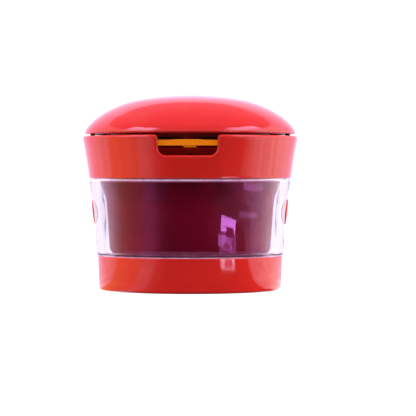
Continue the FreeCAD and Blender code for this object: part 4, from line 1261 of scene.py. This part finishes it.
# %% Milky bands of painted glow
PAINTED_GLOW_BANDS = (
    (11.50, (0.0, 0.0, 0.0)), (11.60, (0.36, 0.26, 0.42)), (12.00, (0.36, 0.26, 0.42)),
    (12.12, (0.02, 0.00, 0.01)), (12.40, (0.02, 0.00, 0.01)), (12.55, (0.11, 0.03, 0.06)),
    (13.80, (0.07, 0.02, 0.04)), (14.20, (0.0, 0.0, 0.0)), (36.55, (0.0, 0.0, 0.0)),
    (36.75, (0.12, 0.03, 0.06)), (37.05, (0.10, 0.02, 0.05)), (37.15, (0.42, 0.30, 0.45)),
    (37.50, (0.42, 0.30, 0.45)), (37.61, (0.0, 0.0, 0.0)),
)
OUTER_SKIN = 31.0 * MM, 31.3 * MM


def painted_band_glow(tree, coords):
    """The bands' painted glow: the table's colour at the point's height, broken up by noise, and kept to the
    outer skin by the root of x squared plus y squared."""
    axes = add_node(tree, "ShaderNodeSeparateXYZ", {"Vector": coords}).outputs
    heights, colours = zip(*PAINTED_GLOW_BANDS)
    low, high = heights[0], heights[-1]
    height = ramp(tree, axes["Z"], low * MM, high * MM, smooth=False)
    bands = add_node(tree, "ShaderNodeValToRGB", {"Fac": height})
    fill_stops(bands.color_ramp, [(z - low) / (high - low) for z in heights], colours)
    squares = [calc(tree, "MULTIPLY", axes[k], axes[k]) for k in ("X", "Y")]
    radius = calc(tree, "SQRT", calc(tree, "ADD", *squares))
    glow_breakup = ramp(tree, noise(tree, coords, 500.0, 4.0), 0.2, 0.8, 0.5, 1.3)
    skin_only = calc(tree, "MULTIPLY", glow_breakup, ramp(tree, radius, *OUTER_SKIN))
    return scaled(tree, bands.outputs["Color"], skin_only)


print("milky bands between %.1f and %.1f mm" % (PAINTED_GLOW_BANDS[0][0], PAINTED_GLOW_BANDS[-1][0]))

# %% Clear plastic
STYRENE_IOR = 1.34


def clear_plastic():
    """Clear styrene: one refracting shader with the skin's tone in its tint and the painted glow of the
    milky bands as its emission, and a transparent one for shadow rays."""
    material, tree = bare_material("cup_clear_styrene")
    skin = place(tree, SKIN, Scale=50.0, Roughness=0.03, Spread=0.03)
    lines = place(tree, HAIRLINES, Scale=55.0, Width=0.008)["Mask"]
    coords = add_node(tree, "ShaderNodeTexCoord").outputs["Object"]
    tint = blend_colour(tree, skin["Tone"], (0.85, 0.87, 0.85, 1), (0.90, 0.91, 0.89, 1))
    rough = calc(tree, "ADD", skin["Roughness"], calc(tree, "MULTIPLY", lines, 0.15))
    bump = add_node(tree, "ShaderNodeBump", {
        "Height": skin["Height"], "Strength": 0.4, "Distance": 0.002 * MM})
    glass = add_node(tree, "ShaderNodeBsdfPrincipled", {
        "Base Color": tint, "Roughness": rough, "IOR": STYRENE_IOR, "Transmission Weight": 1.0,
        "Specular Tint": (1.0, 0.26, 0.92, 1.0), "Emission Color": painted_band_glow(tree, coords),
        "Emission Strength": 1.0, "Normal": bump.outputs["Normal"]})
    shadow = add_node(tree, "ShaderNodeLightPath").outputs["Is Shadow Ray"]
    through = add_node(tree, "ShaderNodeBsdfTransparent", {"Color": (0.93, 0.91, 0.96, 1)})
    both = add_node(tree, "ShaderNodeMixShader", {
        0: shadow, 1: glass.outputs["BSDF"], 2: through.outputs["BSDF"]})
    add_node(tree, "ShaderNodeOutputMaterial", {"Surface": both.outputs["Shader"]})
    return material


FINISHES["clear"] = clear_plastic()
print("clear plastic has", len(FINISHES["clear"].node_tree.nodes), "nodes")

# %% [markdown]
# ## Handing out the finishes
#
# The record names a slot for every CAD node, and each new piece has named its own. A piece
# takes whatever finish its slot says, so no piece can be left with bare grey.

# %% Apply the finishes
slot_of_node = {part["node"]: part["material_slot"] for part in frame["record"]["subparts"]}
for piece in [o for o in bpy.data.objects if o.type == "MESH" and o is not floor]:
    finish = FINISHES[piece["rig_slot"] if "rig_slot" in piece else slot_of_node[piece.name]]
    piece.data.materials.clear()
    piece.data.materials.append(finish)
finished = sum(o.type == "MESH" for o in bpy.data.objects) - 1
print("finished", finished, "pieces with", len(FINISHES), "finishes")
